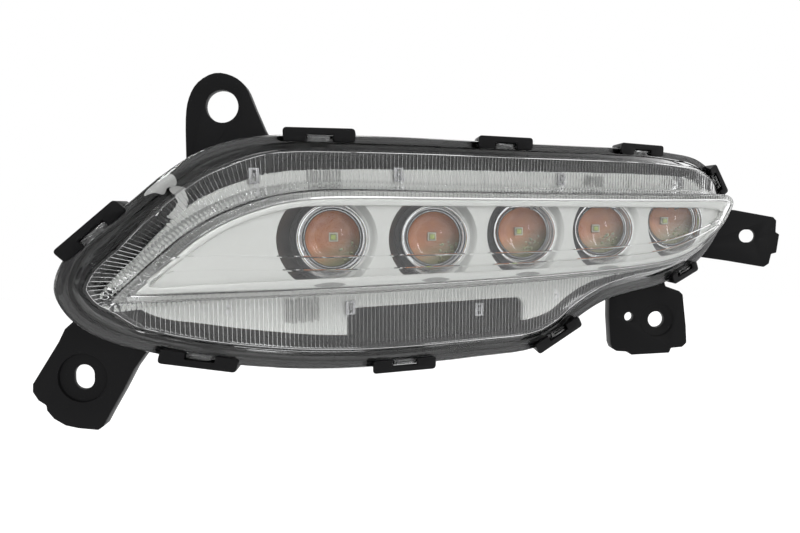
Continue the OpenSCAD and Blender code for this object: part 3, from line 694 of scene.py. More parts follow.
def ribColumns(outer, inner):
    # Both ends of each run of ribs, whether it lies below the eye, and its share of the height
    lines = (outer, inner)
    low = [(lens["fanLow"], spanAt(line, lens["fanLow"])[0]) for line in lines]
    top = [(lens["fanTop"], spanAt(line, lens["fanTop"])[1]) for line in lines]
    first, second = lens["fanRibs"]
    fan = [np.vstack([arcBetween(line, a, corner, first + 1)[:-1], arcBetween(line, corner, b, second + 1)])
           for line, a, corner, b in zip(lines, low, lens["fanCorner"], top)]
    runs = [(*fan, False, lens["fanRaise"])]
    tip, end = [line[:, 0].max() - gap for line, gap in zip((inner, outer), lens["ribGap"])]
    for start, side in ((lens["fanTop"], 1), (lens["fanLow"], 0)):
        xs = np.arange(start, tip, lens["ribPitch"])
        ends = [np.array([(x, spanAt(line, x)[side]) for x in xs]) for line in lines]
        runs.append((*ends, side == 0, lens["sideRaise"][side]))
    xs = np.arange(tip, end, lens["ribPitch"])
    ends = [np.array([(x, spanAt(outer, x)[side]) for x in xs]) for side in (1, 0)]
    runs.append((*ends, False, lens["fanRaise"]))
    return runs


def ribbedLine(line, raised):
    # Each rib is a narrow ridge at its point of the line, with flats between them
    half, high = lens["ridge"]
    along = np.gradient(line, axis=0)
    along /= np.linalg.norm(along, axis=1)[:, None]
    out = []
    for k, (p, d) in enumerate(zip(line, along)):
        inside = 0 < k < len(line) - 1  # flat where one run of ribs meets the next
        for side, t in ((-1, 0.0), (0, -high * raised), (1, 0.0)):
            x, z = p + d * side * half * inside
            out.append(onDrum(x, z, t * inside - lens["wall"]))
    return out


def edgeShift(line):
    # How much further in the ribbed face starts than the flange's width says
    left, leftAt, leftRun = lens["shiftLeft"]
    top, topAt, topRun = lens["shiftTop"]
    start, run = lens["shiftTopFrom"]
    x, z = line[:, 0], line[:, 1]
    high = np.clip((z - topAt) / topRun, 0, 1) * np.clip((x - start) / run, 0, 1)
    return left * np.clip((leftAt + leftRun - x) / leftRun, 0, 1) + top * high


def lensFlange(shape, width, side):
    # From the foot of the ribs round the tongue and the flange, and up the side wall to the sheet's front
    wall, drop = lens["wall"], lens["flangeFront"]
    back = drop - wall
    outside, inside, tip = lens["tongue"]
    bend, foot, end, edge = lens["bend"], lens["foot"], lens["tongueEnd"], lens["flangeEdge"]
    matt = (width - lens["mattBand"], drop)
    sweepSection(shape, flangeLine, [
        (side + foot, -wall), (side, -wall - foot), (side, back + bend), (side - bend, back),
        (inside, back), (inside, tip + end), (inside - bend, tip),
        (outside + bend, tip), (outside, tip + end), (outside, back), (edge, back), (0.0, back + edge),
        *((by, drop + t) for by, t in lens["flangeCorner"]), matt])
    shape.tint = 2
    sweepSection(shape, flangeLine, [
        matt, *((width + by, drop + t) for by, t in lens["wallStart"]),
        *((width + by, t) for by, t in lens["wallEnd"])])
    shape.tint = 0


def lensOutside(shape, rim, base, front, beads):
    # Front of the sheet, bead row along the foot of the eye, and the eye's wall, rim and front
    left = leftShare(base)
    rowWidth, rowHeight = [low + (high - low) * left for low, high in (lens["beadRow"], lens["beadHeight"])]
    out = -inwards(base)
    phase = np.pi * beads * np.arange(len(base)) / len(base)
    shape.region(rim, [base + out * rowWidth[:, None]], onDrum, lens["grid"][0])
    rows = []
    for v in np.linspace(1, 0, lens["beadRings"]):
        height = rowHeight * math.sin(math.pi * v) * np.abs(np.sin(phase))
        place = base + out * (rowWidth * v)[:, None]
        rows.append([onDrum(x, z, t) for (x, z), t in zip(place, height)])
    for share, depth in lens["wallRise"]:
        rows.append(ringOn(base + (front - base) * share, depth))
    for share, sink in lens["wallSink"]:
        rows.append([onDrum(x, z, eyeDepth(x, z) - sink) for x, z in base + (front - base) * share])
    high, speed = lens["dots"]
    dots = high * np.clip(left * speed, 0, 1) * np.sin(2 * phase)
    for by, sink, dotted in lens["rim"]:
        place = front - inwards(front) * (dots * dotted - by)[:, None]
        rows.append([onDrum(x, z, eyeDepth(x, z) - sink) for x, z in place])
    shape.rings(rows, flip=True)
    first = len(shape.faces)
    creases = [[(x, at(x) + k * lens["creaseHalf"]) for x in np.arange(*lens["creaseSpan"])]
               for at in (upperAt, lowerAt) for k in (-1, 0, 1)]
    shape.region(insetLine(front, lens["rim"][-1][0]), [], lambda x, z: onDrum(x, z, eyeDepth(x, z)),
                 lens["grid"][1], extra=creases)
    for k in range(first, len(shape.faces)):
        x, _, z = np.mean([shape.points[v] for v in shape.faces[k]], axis=0)
        shape.tints[k] = int(z < lowerAt(x) - lens["creaseHalf"] and x > lens["frostFrom"])


def lensInside(shape, foot, base, front):
    # Ribs, and the back of the eye's wall and front
    wall = lens["wall"]
    deep = lens["eyeFront"] - wall
    innerBase, innerFront = insetLine(base, wall), insetLine(front, wall)
    for a, b, under, raised in ribColumns(foot, innerBase):
        run = [a + (b - a) * share for share in lens["ribEnds"]]
        shape.rings([ribbedLine(line, raised * (k in (1, 2))) for k, line in enumerate(run)],
                    closed=False, flip=under)
    inner = insetLine(front, wall + lens["innerCorner"])
    rows = [ringOn(innerBase + (innerFront - innerBase) * share, share * lens["eyeFront"] - wall)
            for share in lens["innerRows"]]
    shape.rings([*rows, ringOn(inner, deep)])
    shape.region(inner, [], atDepth(deep), lens["grid"][0], flip=True)


def buildLens():
    shape = Shape()
    width = lens["flangeWidth"] + edgeShift(flangeLine)
    side = width + lens["sideWall"]
    base, front, beads = eyeRings()
    lensFlange(shape, width, side)
    lensOutside(shape, insetLine(flangeLine, width + lens["wallEnd"][-1][0]), base, front, beads)
    lensInside(shape, insetLine(flangeLine, side + lens["foot"]), base, front)
    piece = shape.make("lensShell", look["lensClear"], look["lensFrosted"], look["lensMatt"],
                       weld=lens["weld"], turn=False)
    finish(piece, "outer_lens")


buildLens()
print("lens built")

# Silver bezel: trim under the ribs and the pocket of the eye with its wells, one thin moulding, with painted
# shade in the wells and along the eye's edge
bezel = {
    "front": -4.7,
    "wall": 1.3,
    "inset": 3.0,  # from the front outline of the eye
    "rim": 23.0,
    "rimCorner": ((0.0, -0.5), (0.12, -0.14), (0.5, 0.0)),  # inset and depth
    "sideRows": (5.0, 14.0),
    "shelfEdge": ((-0.4, 0.0), (-0.1, -0.12), (0.0, -0.5)),
    "deck": 20.7,
    "gap": ((5.0, 80.0), -27.5, 4.0, 7),  # sides, top, corner radius and points of the opening below the eye
    "wellRadius": (17.0, 14.4),  # at the mouth and at the floor
    "wellShift": 0.8,
    "wellFloor": 2.0,
    "wellPoints": 120,
    "floorRows": (0.0, 0.5, 1.0),
    "groove": (0.1, 24),
    "ringHole": 12.9,
    # Placing of the painted shade: darker on the left of each well, and on the eye's wall and the strip round
    # it
    "shadeFrom": (3.0, 18.0, 0.25),  # start right of the well's middle, run, and share at the start
    "shadeReach": (0.3, 0.25),  # beyond the well's mouth, and behind the deck
    "strip": (2.6, 2.0),  # the strip is this much wider than the foot of the eye
    "edgeShade": (0.5, 0.4, 20),  # most of the eye's wall and the strip round it, least share, and run
    "edgeFrom": (-18.0, 1.5),  # lowest place, and distance behind the rim
    "shadeInsets": (-0.1, -0.05, -0.6),  # of the pocket, of the strip's outside, and of its inside
    "grid": (6.0, 5.0, 3.0),  # of the points in the trim, in the pocket, and in the strip
    "weld": 0.01,
}


def trimOutline():
    # The sheet's edge, with the opening that is let into it from below
    (left, right), top, r, count = bezel["gap"]
    line = trimLine
    index = np.flatnonzero((line[:, 0] > left) & (line[:, 0] < right) & (line[:, 1] < top))
    first, last = index[0], index[-1]
    rest = np.roll(line, -(last + 1), 0)[:len(line) - (last - first + 1)]
    turn = np.radians(np.linspace(0, 90, count))
    path = [(right, spanAt(line, right)[0]),
            *((right - r + r * math.cos(a), top - r + r * math.sin(a)) for a in turn),
            *((left + r - r * math.sin(a), top - r + r * math.cos(a)) for a in turn),
            (left, spanAt(line, left)[0])]
    return np.vstack([rest, path])


def rayTo(line, x, z, dx, dz):
    # Distance from a point inside a closed line to that line
    e = np.roll(line, -1, 0) - line
    qx, qz = line[:, 0] - x, line[:, 1] - z
    cross = dx * e[:, 1] - dz * e[:, 0]
    cross[np.abs(cross) < drawing["parallel"]] = drawing["parallel"]
    r = (qx * e[:, 1] - qz * e[:, 0]) / cross
    u = (qx * dz - qz * dx) / cross
    good = (r > 0) & (u > -drawing["tiny"]) & (u < 1 + drawing["tiny"])
    return float(r[good].min())


def roundIn(x, z, radius):
    # Circle, clockwise from the top, cut off where it would leave the pocket
    out = []
    for k in range(bezel["wellPoints"]):
        a = 2 * math.pi * k / bezel["wellPoints"]
        dx, dz = math.sin(a), math.cos(a)
        r = min(radius, rayTo(shelfLine, x, z, dx, dz))
        out.append((x + dx * r, z + dz * r))
    return np.array(out)


def wellRows(i):
    # Well round light i: a grooved wall that narrows to its floor, and the floor in to the ring
    lx, ly, lz = lightAt(i)
    cx, floor = lx - bezel["wellShift"], ly + bezel["wellFloor"]
    wide, narrow = bezel["wellRadius"]
    sink, cuts = bezel["groove"]

    def sunk(line, share):
        decks = [drumY(x, z, bezel["deck"]) for x, z in line]
        return [(x, max(deck, deck * (1 - share) + floor * share), z) for (x, z), deck in zip(line, decks)]

    rows = [sunk(roundIn(cx, lz, wide + (narrow - wide) * (k / cuts) + sink * (k % 2)), k / cuts)
            for k in range(cuts + 1)]
    start, hole = roundIn(cx, lz, narrow), roundIn(lx, lz, bezel["ringHole"])
    return rows + [sunk(start + (hole - start) * share, 1) for share in bezel["floorRows"]]


def paintedShadeOf(x, y, z, inPocket, onEdge):
    # Painted shade: 1 on the left of each well and 0 on its right, part of it on the eye's edge, and 0
    # elsewhere
    start, run, least = bezel["shadeFrom"]
    beyond, behind = bezel["shadeReach"]
    for i in range(lamp["lights"]):
        lx, _, lz = lightAt(i)
        cx = lx - bezel["wellShift"]
        near = math.hypot(x - cx, z - lz) < bezel["wellRadius"][0] + beyond
        if inPocket and near and y > drumY(x, z, bezel["deck"]) + behind:
            share = min(max((cx + start - x) / run + least, 0), 1)
            return share * share * (3 - 2 * share)
    lowest, back = bezel["edgeFrom"]
    most, low, fade = bezel["edgeShade"]
    if onEdge and z > lowest and y > drumY(x, z, bezel["rim"] - back):
        return most * min(max(-x / fade, low), 1)
    return 0.0


def buildBezel():
    shape = Shape()
    inset, front, rim, deck = [bezel[key] for key in ("inset", "front", "rim", "deck")]
    trimGrid, pocketGrid, stripGrid = bezel["grid"]
    # The strip round the eye's foot is its own region so that the painted shade can change at its edges
    strips = [insetLine(outline(eyeBasePoints), -by) for by in bezel["strip"]]
    shape.region(trimOutline(), [strips[0]], atDepth(front), trimGrid)
    shape.region(strips[0], [strips[1]], atDepth(front), trimGrid)
    shape.region(strips[1], [insetLine(eyeLine, inset)], atDepth(front), stripGrid)
    sweepSection(shape, eyeLine, [*((inset, t) for t in (front, *bezel["sideRows"])),
                                  *((inset + by, rim + t) for by, t in bezel["rimCorner"])])
    shape.region(insetLine(eyeLine, inset + bezel["rimCorner"][-1][0]),
                 [insetLine(shelfLine, bezel["shelfEdge"][0][0])], atDepth(rim), pocketGrid)
    sweepSection(shape, shelfLine, [*((by, rim + t) for by, t in bezel["shelfEdge"]), (0.0, deck)])
    wells = []
    turn = np.radians(np.arange(0, 360, 360 // bezel["wellPoints"]))
    for i in range(lamp["lights"]):
        lx, _, lz = lightAt(i)
        r = bezel["wellRadius"][0]
        wells.append(np.column_stack([lx - bezel["wellShift"] + r * np.sin(turn), lz + r * np.cos(turn)]))
        shape.rings(wellRows(i), flip=True)
    shape.region(shelfLine, wells, atDepth(deck), pocketGrid)
    piece = shape.make("silverBezel", look["bezelSilver"], weld=bezel["weld"], turn=False)
    # Painted shade in a point attribute: dark on the left of each well, and grey on the eye's wall and the
    # strip round it
    places = [drawnAt(v) for v in piece.data.vertices]
    flat = np.array([(q[0], q[2]) for q in places])
    inPocket, inStrip, inHole = [insideOf(flat, insetLine(line, by)) for line, by in
                                 zip((shelfLine, strips[1], shelfLine), bezel["shadeInsets"])]
    onEdge = inStrip & ~inHole
    addShade(piece, [paintedShadeOf(*q, p, e) for q, p, e in zip(places, inPocket, onEdge)])
    finish(thicken(piece, bezel["wall"]), "bezel")


buildBezel()
print("bezel built")

# The lights: bright ring, clear dome, film circuit and LED
light = {
    # radius and depth behind the ring's front
    "ring": [(12.7, 13.0), (12.7, 0.3), (12.6, 0.08), (12.45, 0.0), (12.3, 0.08), (12.2, 0.3), (12.0, 1.6),
             (11.75, 1.75), (11.6, 1.9), (11.45, 3.4), (11.3, 3.5), (11.2, 3.7), (11.2, 6.7), (10.0, 6.7),
             (10.0, 13.0)],
    "ringGap": 0.2,
    "dome": (9.7, 12.6, 1.2, 6.7),  # radius in plan, of the ball, depth of the top and of the back
    "domeFlange": (11.05, 5.0),
    # Radius beyond the ball's or the flange's, and depth behind the flange
    "domeFoot": (0.1, 0.15),
    "domeStep": ((0.5, 0.1), (0.6, -0.1)),
    "domeLip": ((-0.35, -0.1), (-0.1, 0.0), (0.0, 0.25)),
    "domeEdge": 0.2,
    "domeBack": (0.6, 0.25),  # rings in the back, as shares of its radius
    "domeRings": 16,
    "weld": 0.001,
    "turns": 96,
    "cutter": (-60, 160),
    "led": [("ledCream", 2.3, 0.0, 0.8, 0.12), ("windowOlive", 1.7, 0.7, 0.16, 0.03),
            ("chipYellow", 1.2, 0.8, 0.28, 0.06)],  # width, depth before the film, thickness and edge
}
film = {
    "front": 12.7,  # behind the ring's front
    "wall": 0.3,
    "pad": (19.0, 17.0, 3.0),  # width, height and corner radius
    "cornerPoints": 6,
    "padGrid": (1.2, 6.0),  # of the points in its front, whose colour changes, and in its back
    "link": (8, 18.75, 30),  # start, bend and end, to the right of the light
    "linkHalf": 2.5,
    "tail": (59.5, 13.0),  # left side, and depth behind the third light
    "tailSize": (5, -9.5, 20),  # width, lower end and reach to the board
    "green": (0.45, 0.5, 6),  # slant, start and run of the change of colour
}


def pocketCutter(gap):
    # Solid as wide as the pocket, which trims what stands in the wells
    shape = Shape()
    shape.block(*[[(x, y, z) for x, z in insetLine(shelfLine, gap)] for y in light["cutter"]])
    return shape.make("pocketCutter", look["ringChrome"], weld=bezel["weld"])


def trimmed(piece, cutter):
    cut = piece.modifiers.new("pocket", "BOOLEAN")
    cut.operation = "INTERSECT"
    cut.solver = "EXACT"
    cut.object = cutter
    return applied(piece)


def turned(shape, profile, i, loop=False):
    # Profile of radius and depth, turned round the axis of light i
    lx, ly, lz = lightAt(i)
    turn = 2 * np.pi * np.arange(light["turns"]) / light["turns"]
    shape.rings([[(lx + r * math.sin(a), ly + y, lz + r * math.cos(a)) for a in turn] for r, y in profile],
                loop=loop)


def buildRing(i, cutter):
    shape = Shape()
    turned(shape, light["ring"], i, loop=True)
    piece = trimmed(shape.make("brightRing%d" % (i + 1), look["ringChrome"], weld=light["weld"]), cutter)
    finish(piece, "lens_ring_%d" % (i + 1))


def buildDome(i, cutter):
    radius, ball, top, back = light["dome"]
    wide, flange = light["domeFlange"]
    count = light["domeRings"]
    steep = math.asin(radius / ball)
    cap = [(ball * math.sin(steep * k / count), top + ball * (1 - math.cos(steep * k / count)))
           for k in range(1, count + 1)]
    out, down = light["domeFoot"]
    step = [(radius + out, max(flange, cap[-1][1] + down)),
            *((radius + r, flange + y) for r, y in light["domeStep"]),
            *((wide + r, flange + y) for r, y in light["domeLip"])]
    base = [(wide, back - light["domeEdge"]), (wide - light["domeEdge"], back),
            *((wide * share, back) for share in light["domeBack"])]
    shape = Shape()
    turned(shape, [*cap, *step, *base], i)
    lx, ly, lz = lightAt(i)
    for first, y in ((0, ly + top), (len(shape.points) - light["turns"], ly + back)):
        shape.points.append((lx, y, lz))
        tip = len(shape.points) - 1
        for k in range(light["turns"]):
            shape.face((first + k, first + (k + 1) % light["turns"], tip))
    piece = trimmed(shape.make("clearDome%d" % (i + 1), look["domeClear"], weld=light["weld"]), cutter)
    finish(piece, "condenser_lens_%d" % (i + 1))


def roundedBox(name, material, low, high, edge):
    # Block in lamp millimetres with its edges rounded
    work = bmesh.new()
    bmesh.ops.create_cube(work, size=1)
    for v in work.verts:
        v.co = [(low[k] + high[k]) / 2 + v.co[k] * (high[k] - low[k]) for k in range(3)]
    bmesh.ops.bevel(work, geom=work.edges[:], offset=edge, segments=2, profile=drawing["roundProfile"],
                    affect="EDGES")
    work.verts.ensure_lookup_table()
    points = [tuple(v.co) for v in work.verts]
    faces = [[v.index for v in f.verts] for f in work.faces]
    work.free()
    return addPiece(name, points, faces, [material])


def joined(pieces, name):
    # One object out of several, with their materials
    work = bmesh.new()
    materials = []
    for piece in pieces:
        start = len(work.faces)
        work.from_mesh(piece.data)
        work.faces.ensure_lookup_table()
        material = piece.data.materials[0]
        if material not in materials:
            materials.append(material)
        for face in work.faces[start:]:
            face.material_index = materials.index(material)
        bpy.data.objects.remove(piece)
    mesh = bpy.data.meshes.new(name)
    for material in materials:
        mesh.materials.append(material)
    work.to_mesh(mesh)
    work.free()
    soften(mesh)
    return linked(name, mesh)


def buildLed(i):
    lx, ly, lz = lightAt(i)
    parts = []
    for material, width, before, thick, edge in light["led"]:
        back = ly + film["front"] - before
        low = (lx - width / 2, back - thick, lz - width / 2)
        high = (lx + width / 2, back, lz + width / 2)
        parts.append(roundedBox("ledPart", look[material], low, high, edge))
    finish(joined(parts, "ledPackage%d" % (i + 1)), "led_%d" % (i + 1))


def padOutline(i):
    lx, _, lz = lightAt(i)
    wide, tall, corner = film["pad"]
    out = []
    for k, (sx, sz) in enumerate(((1, 1), (1, -1), (-1, -1), (-1, 1))):
        for a in np.radians(np.linspace(0, 90, film["cornerPoints"])) + k * math.pi / 2:
            out.append((lx + (sx * (wide / 2 - corner) + corner * math.sin(a)),
                        lz + (sz * (tall / 2 - corner) + corner * math.cos(a))))
    return np.array(out)


def filmPad(shape, i):
    edge, y, wall = padOutline(i), lightAt(i)[1] + film["front"], film["wall"]
    front, back = film["padGrid"]
    shape.region(edge, [], lambda x, z: (x, y, z), front)
    shape.rings([[(x, q, z) for x, z in edge] for q in (y, y + wall)])
    shape.region(edge, [], lambda x, z: (x, y + wall, z), back, flip=True)


def filmLink(shape, i):
    # Strip that steps back from one pad to the next
    lx, ly, _ = lightAt(i)
    y, step, wall, half = ly + film["front"], lamp["step"], film["wall"], film["linkHalf"]
    start, bend, end = film["link"]
    front = [(lx + start, y), (lx + bend, y), (lx + bend, y + step), (lx + end, y + step)]
    behind = [(0, wall), (-wall, wall), (-wall, wall), (0, wall)]
    back = [(x + dx, q + dy) for (x, q), (dx, dy) in zip(front, behind)]
    sides = [(half, front), (-half, front), (-half, back), (half, back)]
    shape.rings([[(x, q, z) for x, q in line] for z, line in sides], closed=False, loop=True)


def filmTail(shape):
    # Down from the third link, and back to the driver board
    x, y = film["tail"][0], lamp["step"] * 2 + film["tail"][1]
    wide, foot, reach = film["tailSize"]
    wall = film["wall"]
    for low, high, back in ((foot, 0, y), (foot - wall, foot, y + reach)):
        corners = [(x, low), (x, high), (x + wide, high), (x + wide, low)]
        shape.block(*[[(cx, q, cz) for cx, cz in corners] for q in (y - wall, back)])


def buildFilm():
    # Pads behind the lights, links between them, and the tail; it turns green to the lower right of each LED
    shape = Shape()
    for i in range(lamp["lights"]):
        filmPad(shape, i)
    for i in range(lamp["lights"] - 1):
        filmLink(shape, i)
    filmTail(shape)
    piece = shape.make("filmCircuit", look["filmCopper"], weld=light["weld"])
    slant, start, run = film["green"]
    values = []
    for v in piece.data.vertices:
        x, _, z = drawnAt(v)
        i = min(max(round(x / lamp["pitch"]), 0), lamp["lights"] - 1)
        across = (x - lamp["pitch"] * i) * slant - (z - lamp["rise"][i])
        values.append(float(min(max((across - start) / run, 0), 1)))
    addShade(piece, values)
    finish(piece, "flex_circuit")


ringCutter = pocketCutter(light["ringGap"])
domeCutter = pocketCutter(2 * light["ringGap"])
for i in range(lamp["lights"]):
    buildRing(i, ringCutter)
    buildDome(i, domeCutter)
    buildLed(i)
bpy.data.objects.remove(ringCutter)
bpy.data.objects.remove(domeCutter)
buildFilm()
print("lights built")

# Housing: the moulding with its edges rounded
housing = {
    "edge": 0.4,
    "edgeAngle": 35,
    "flat": 0.6,  # faces that turn less than this, in degrees, are one
    "merge": 1e-5,
    "loopCorner": 1.3,
    # An edge is rounded as a loop's corner if it is near to one, long, upright and sharp enough
    "cornerNear": 0.35,
    "cornerLength": 1.5,
    "cornerLean": 0.2,
    "cornerBend": 0.8,
}
snap = {
    # number of the flange point in the middle, and length of each loop
    "loops": [(2, 25), (8, 26), (10, 25), (12, 25), (16, 17), (21, 17), (26, 25), (29, 26), (32, 26)],
    "out": 2.2,
    "reach": 3.0,
    "rim": 2.6,
    "window": 10.0,
    "gap": 0.3,
    "hook": (-9.0, -5.9),  # depth of its back and of its nose
    # How far the parts of a hook stay inside its ends, its outer face and its front
    "clear": 0.1,
    "blockFront": 0.7,
    "nose": (1.2, 1.1, 0.1, 0.95),
    "foot": (2.6, 1.6, 0.9, 0.95, 0.25),
    "edges": (0.35, 0.3, 0.2),
}
coarseParts = 3
coarseFlange = smoothLine(flangePoints, coarseParts)


def loopFrame(number):
    # Place and directions of a snap loop: along the flange's edge and outwards
    k = coarseParts * number
    d = coarseFlange[(k + coarseParts) % len(coarseFlange)] - coarseFlange[k - coarseParts]
    d /= np.linalg.norm(d)
    return coarseFlange[k], d, np.array([-d[1], d[0]])


def loopCorners():
    out = []
    for number, length in snap["loops"]:
        p, along, outward = loopFrame(number)
        for u in (-length / 2, length / 2):
            for v in (-snap["reach"], snap["out"]):
                out.append(p + along * u + outward * v)
    return np.array(out)


def buildHousing():
    mesh = nodes["housing"].data.copy()
    mesh.materials.clear()
    mesh.materials.append(look["housingBlack"])
    work = bmesh.new()
    work.from_mesh(mesh)
    bmesh.ops.remove_doubles(work, verts=work.verts, dist=housing["merge"])
    bmesh.ops.dissolve_limit(work, angle_limit=math.radians(housing["flat"]), verts=work.verts,
                             edges=work.edges)
    corners = loopCorners() + origin[[0, 2]]
    upright = []
    for edge in work.edges:
        a, b = [np.array(v.co) * 1000 for v in edge.verts]
        near = np.linalg.norm(corners - a[[0, 2]], axis=1).min() < housing["cornerNear"]
        long = abs(b - a)[1] > housing["cornerLength"]
        straight = np.linalg.norm((b - a)[[0, 2]]) < housing["cornerLean"]
        if near and long and straight and edge.calc_face_angle(0) > housing["cornerBend"]:
            upright.append(edge)
    print("loop corners rounded:", len(upright))
    bmesh.ops.bevel(work, geom=upright, offset=housing["loopCorner"] / 1000, segments=3,
                    profile=drawing["roundProfile"], affect="EDGES", clamp_overlap=True)
    work.to_mesh(mesh)
    work.free()
    piece = linked("mouldedHousing", mesh)
    edges = piece.modifiers.new("edges", "BEVEL")
    edges.width = housing["edge"] / 1000
    edges.segments = 2
    edges.limit_method = "ANGLE"
    edges.angle_limit = math.radians(housing["edgeAngle"])
    edges.use_clamp_overlap = False
    finish(applied(piece), "housing")


buildHousing()
print("housing built")


# Small parts
def edgeBlock(name, frameAt, along, outward, depth, edge):
    # Clear rounded block beside the flange's edge: spans along it, outwards and in depth
    p, d, n = frameAt
    low, high = zip(along, depth, outward)
    block = roundedBox(name, look["lensClear"], low, high, edge)
    for v in block.data.vertices:
        u, t, w = drawnAt(v)
        x, z = p + d * u + n * w
        v.co = inMetres(onDrum(x, z, t))
    block.data.flip_normals()
    soften(block.data)
    return block


def buildHooks():
    # Clear hooks of the lens in the windows of the snap loops: a block with a raised nose and a foot
    half = snap["window"] / 2 - snap["gap"]
    inner, outer = -snap["reach"] + snap["clear"], snap["out"] - snap["rim"] - snap["gap"]
    back, front = snap["hook"]
    short, low, high, thick = snap["nose"]
    start, end, under, deep, shy = snap["foot"]
    blocks = [("hookBlock", (-half, half), (inner, outer), (back, front - snap["blockFront"])),
              ("hookNose", (-half + short, half - short), (outer - low, outer - high),
               (front - thick, front)),
              ("hookFoot", (half - start, half - end), (inner, outer - under), (front - deep, front - shy))]
    parts = [edgeBlock(name, loopFrame(number), *spans, edge) for number, _ in snap["loops"]
             for (name, *spans), edge in zip(blocks, snap["edges"])]
    finish(joined(parts, "lensHooks"), "outer_lens")


def onTrim(piece, depth):
    # Lays what was drawn flat at y 0 on the silver trim, this far in front of it
    for v in piece.data.vertices:
        x, y, z = drawnAt(v)
        v.co = inMetres((x, drumY(x, z, bezel["front"] + depth) + y, z))
    return piece


clips = {
    "places": [(-27.2, 22.0), (24.8, 23.6), (97.1, 23.3), (164.1, 22.9), (6.2, -27.3), (59.2, -31.6)],
    "size": (3.6, 5.4, 1.5),
    "slotWidth": 1.3,
    "bar": (0.8, 0.1),  # height of the top and foot bars, and how far they run into the sides
    "tooth": ((-0.35, -0.6), (0.35, 0.9)),
    "edge": 0.15,
    "above": 0.05,
}


def buildClips():
    # Snap clips of the bezel: a small frame with a slot and a tooth
    wide, tall, thick = clips["size"]
    high, lap = clips["bar"]
    half, top = wide / 2, tall / 2
    bar = (wide - clips["slotWidth"]) / 2
    bars = [((-half, -top), (-half + bar, top)), ((half - bar, -top), (half, top)),
            ((-half + bar - lap, top - high), (half - bar + lap, top)),
            ((-half + bar - lap, -top), (half - bar + lap, -top + high)), clips["tooth"]]
    parts = []
    for x, z in clips["places"]:
        for low, up in bars:
            box = roundedBox("clipBar", look["clipGrey"], (x + low[0], -thick, z + low[1]),
                             (x + up[0], 0.0, z + up[1]), clips["edge"])
            parts.append(onTrim(box, clips["above"]))
    finish(joined(parts, "trimClips"), "bezel")


# Geometry nodes: rows and fields of small copies
randomSocket = {"low": 2, "high": 3, "result": 1}


def growTree(name, inputs):
    # Tree with named inputs, the identifier of each under its key, and the node that gives their values
    tree = bpy.data.node_groups.new(name, "GeometryNodeTree")
    keys = {key: tree.interface.new_socket(label, in_out="INPUT", socket_type="NodeSocket" + kind).identifier
            for key, label, kind in inputs}
    tree.interface.new_socket("Geometry", in_out="OUTPUT", socket_type="NodeSocketGeometry")
    return tree, keys, tree.nodes.new("NodeGroupInput")


def copiesOut(tree, given, points, copy):
    # A copy at each point, made real and dressed: the end of every tree
    copies = tree.nodes.new("GeometryNodeInstanceOnPoints")
    real = tree.nodes.new("GeometryNodeRealizeInstances")
    dressed = tree.nodes.new("GeometryNodeSetMaterial")
    result = tree.nodes.new("NodeGroupOutput")
    link(tree, (points, copies.inputs["Points"]), (copy, copies.inputs["Instance"]),
         (copies.outputs[0], real.inputs[0]), (real.outputs[0], dressed.inputs["Geometry"]),
         (given.outputs["Finish"], dressed.inputs["Material"]), (dressed.outputs[0], result.inputs[0]))
    return copies


def finRow():
    # A row of fins, each a little higher or lower than the last
    tree, keys, given = growTree("finRow", [
        ("count", "Count", "Int"), ("size", "Fin size", "Vector"), ("start", "Start", "Vector"),
        ("step", "Step", "Vector"), ("jitter", "Jitter", "Float"), ("finish", "Finish", "Material")])
    line = tree.nodes.new("GeometryNodeMeshLine")
    fin = tree.nodes.new("GeometryNodeMeshCube")
    chance = node(tree, "FunctionNodeRandomValue", data_type="FLOAT", in_Seed=7)
    lift = tree.nodes.new("ShaderNodeCombineXYZ")
    moved = tree.nodes.new("GeometryNodeSetPosition")
    link(tree, (given.outputs["Count"], line.inputs["Count"]),
         (given.outputs["Start"], line.inputs["Start Location"]),
         (given.outputs["Step"], line.inputs["Offset"]), (given.outputs["Fin size"], fin.inputs["Size"]),
         (maths(tree, "MULTIPLY", given.outputs["Jitter"], -1.0), chance.inputs[randomSocket["low"]]),
         (given.outputs["Jitter"], chance.inputs[randomSocket["high"]]),
         (chance.outputs[randomSocket["result"]], lift.inputs["Z"]),
         (line.outputs["Mesh"], moved.inputs["Geometry"]), (lift.outputs[0], moved.inputs["Offset"]))
    copiesOut(tree, given, moved.outputs[0], fin.outputs["Mesh"])
    return tree, keys


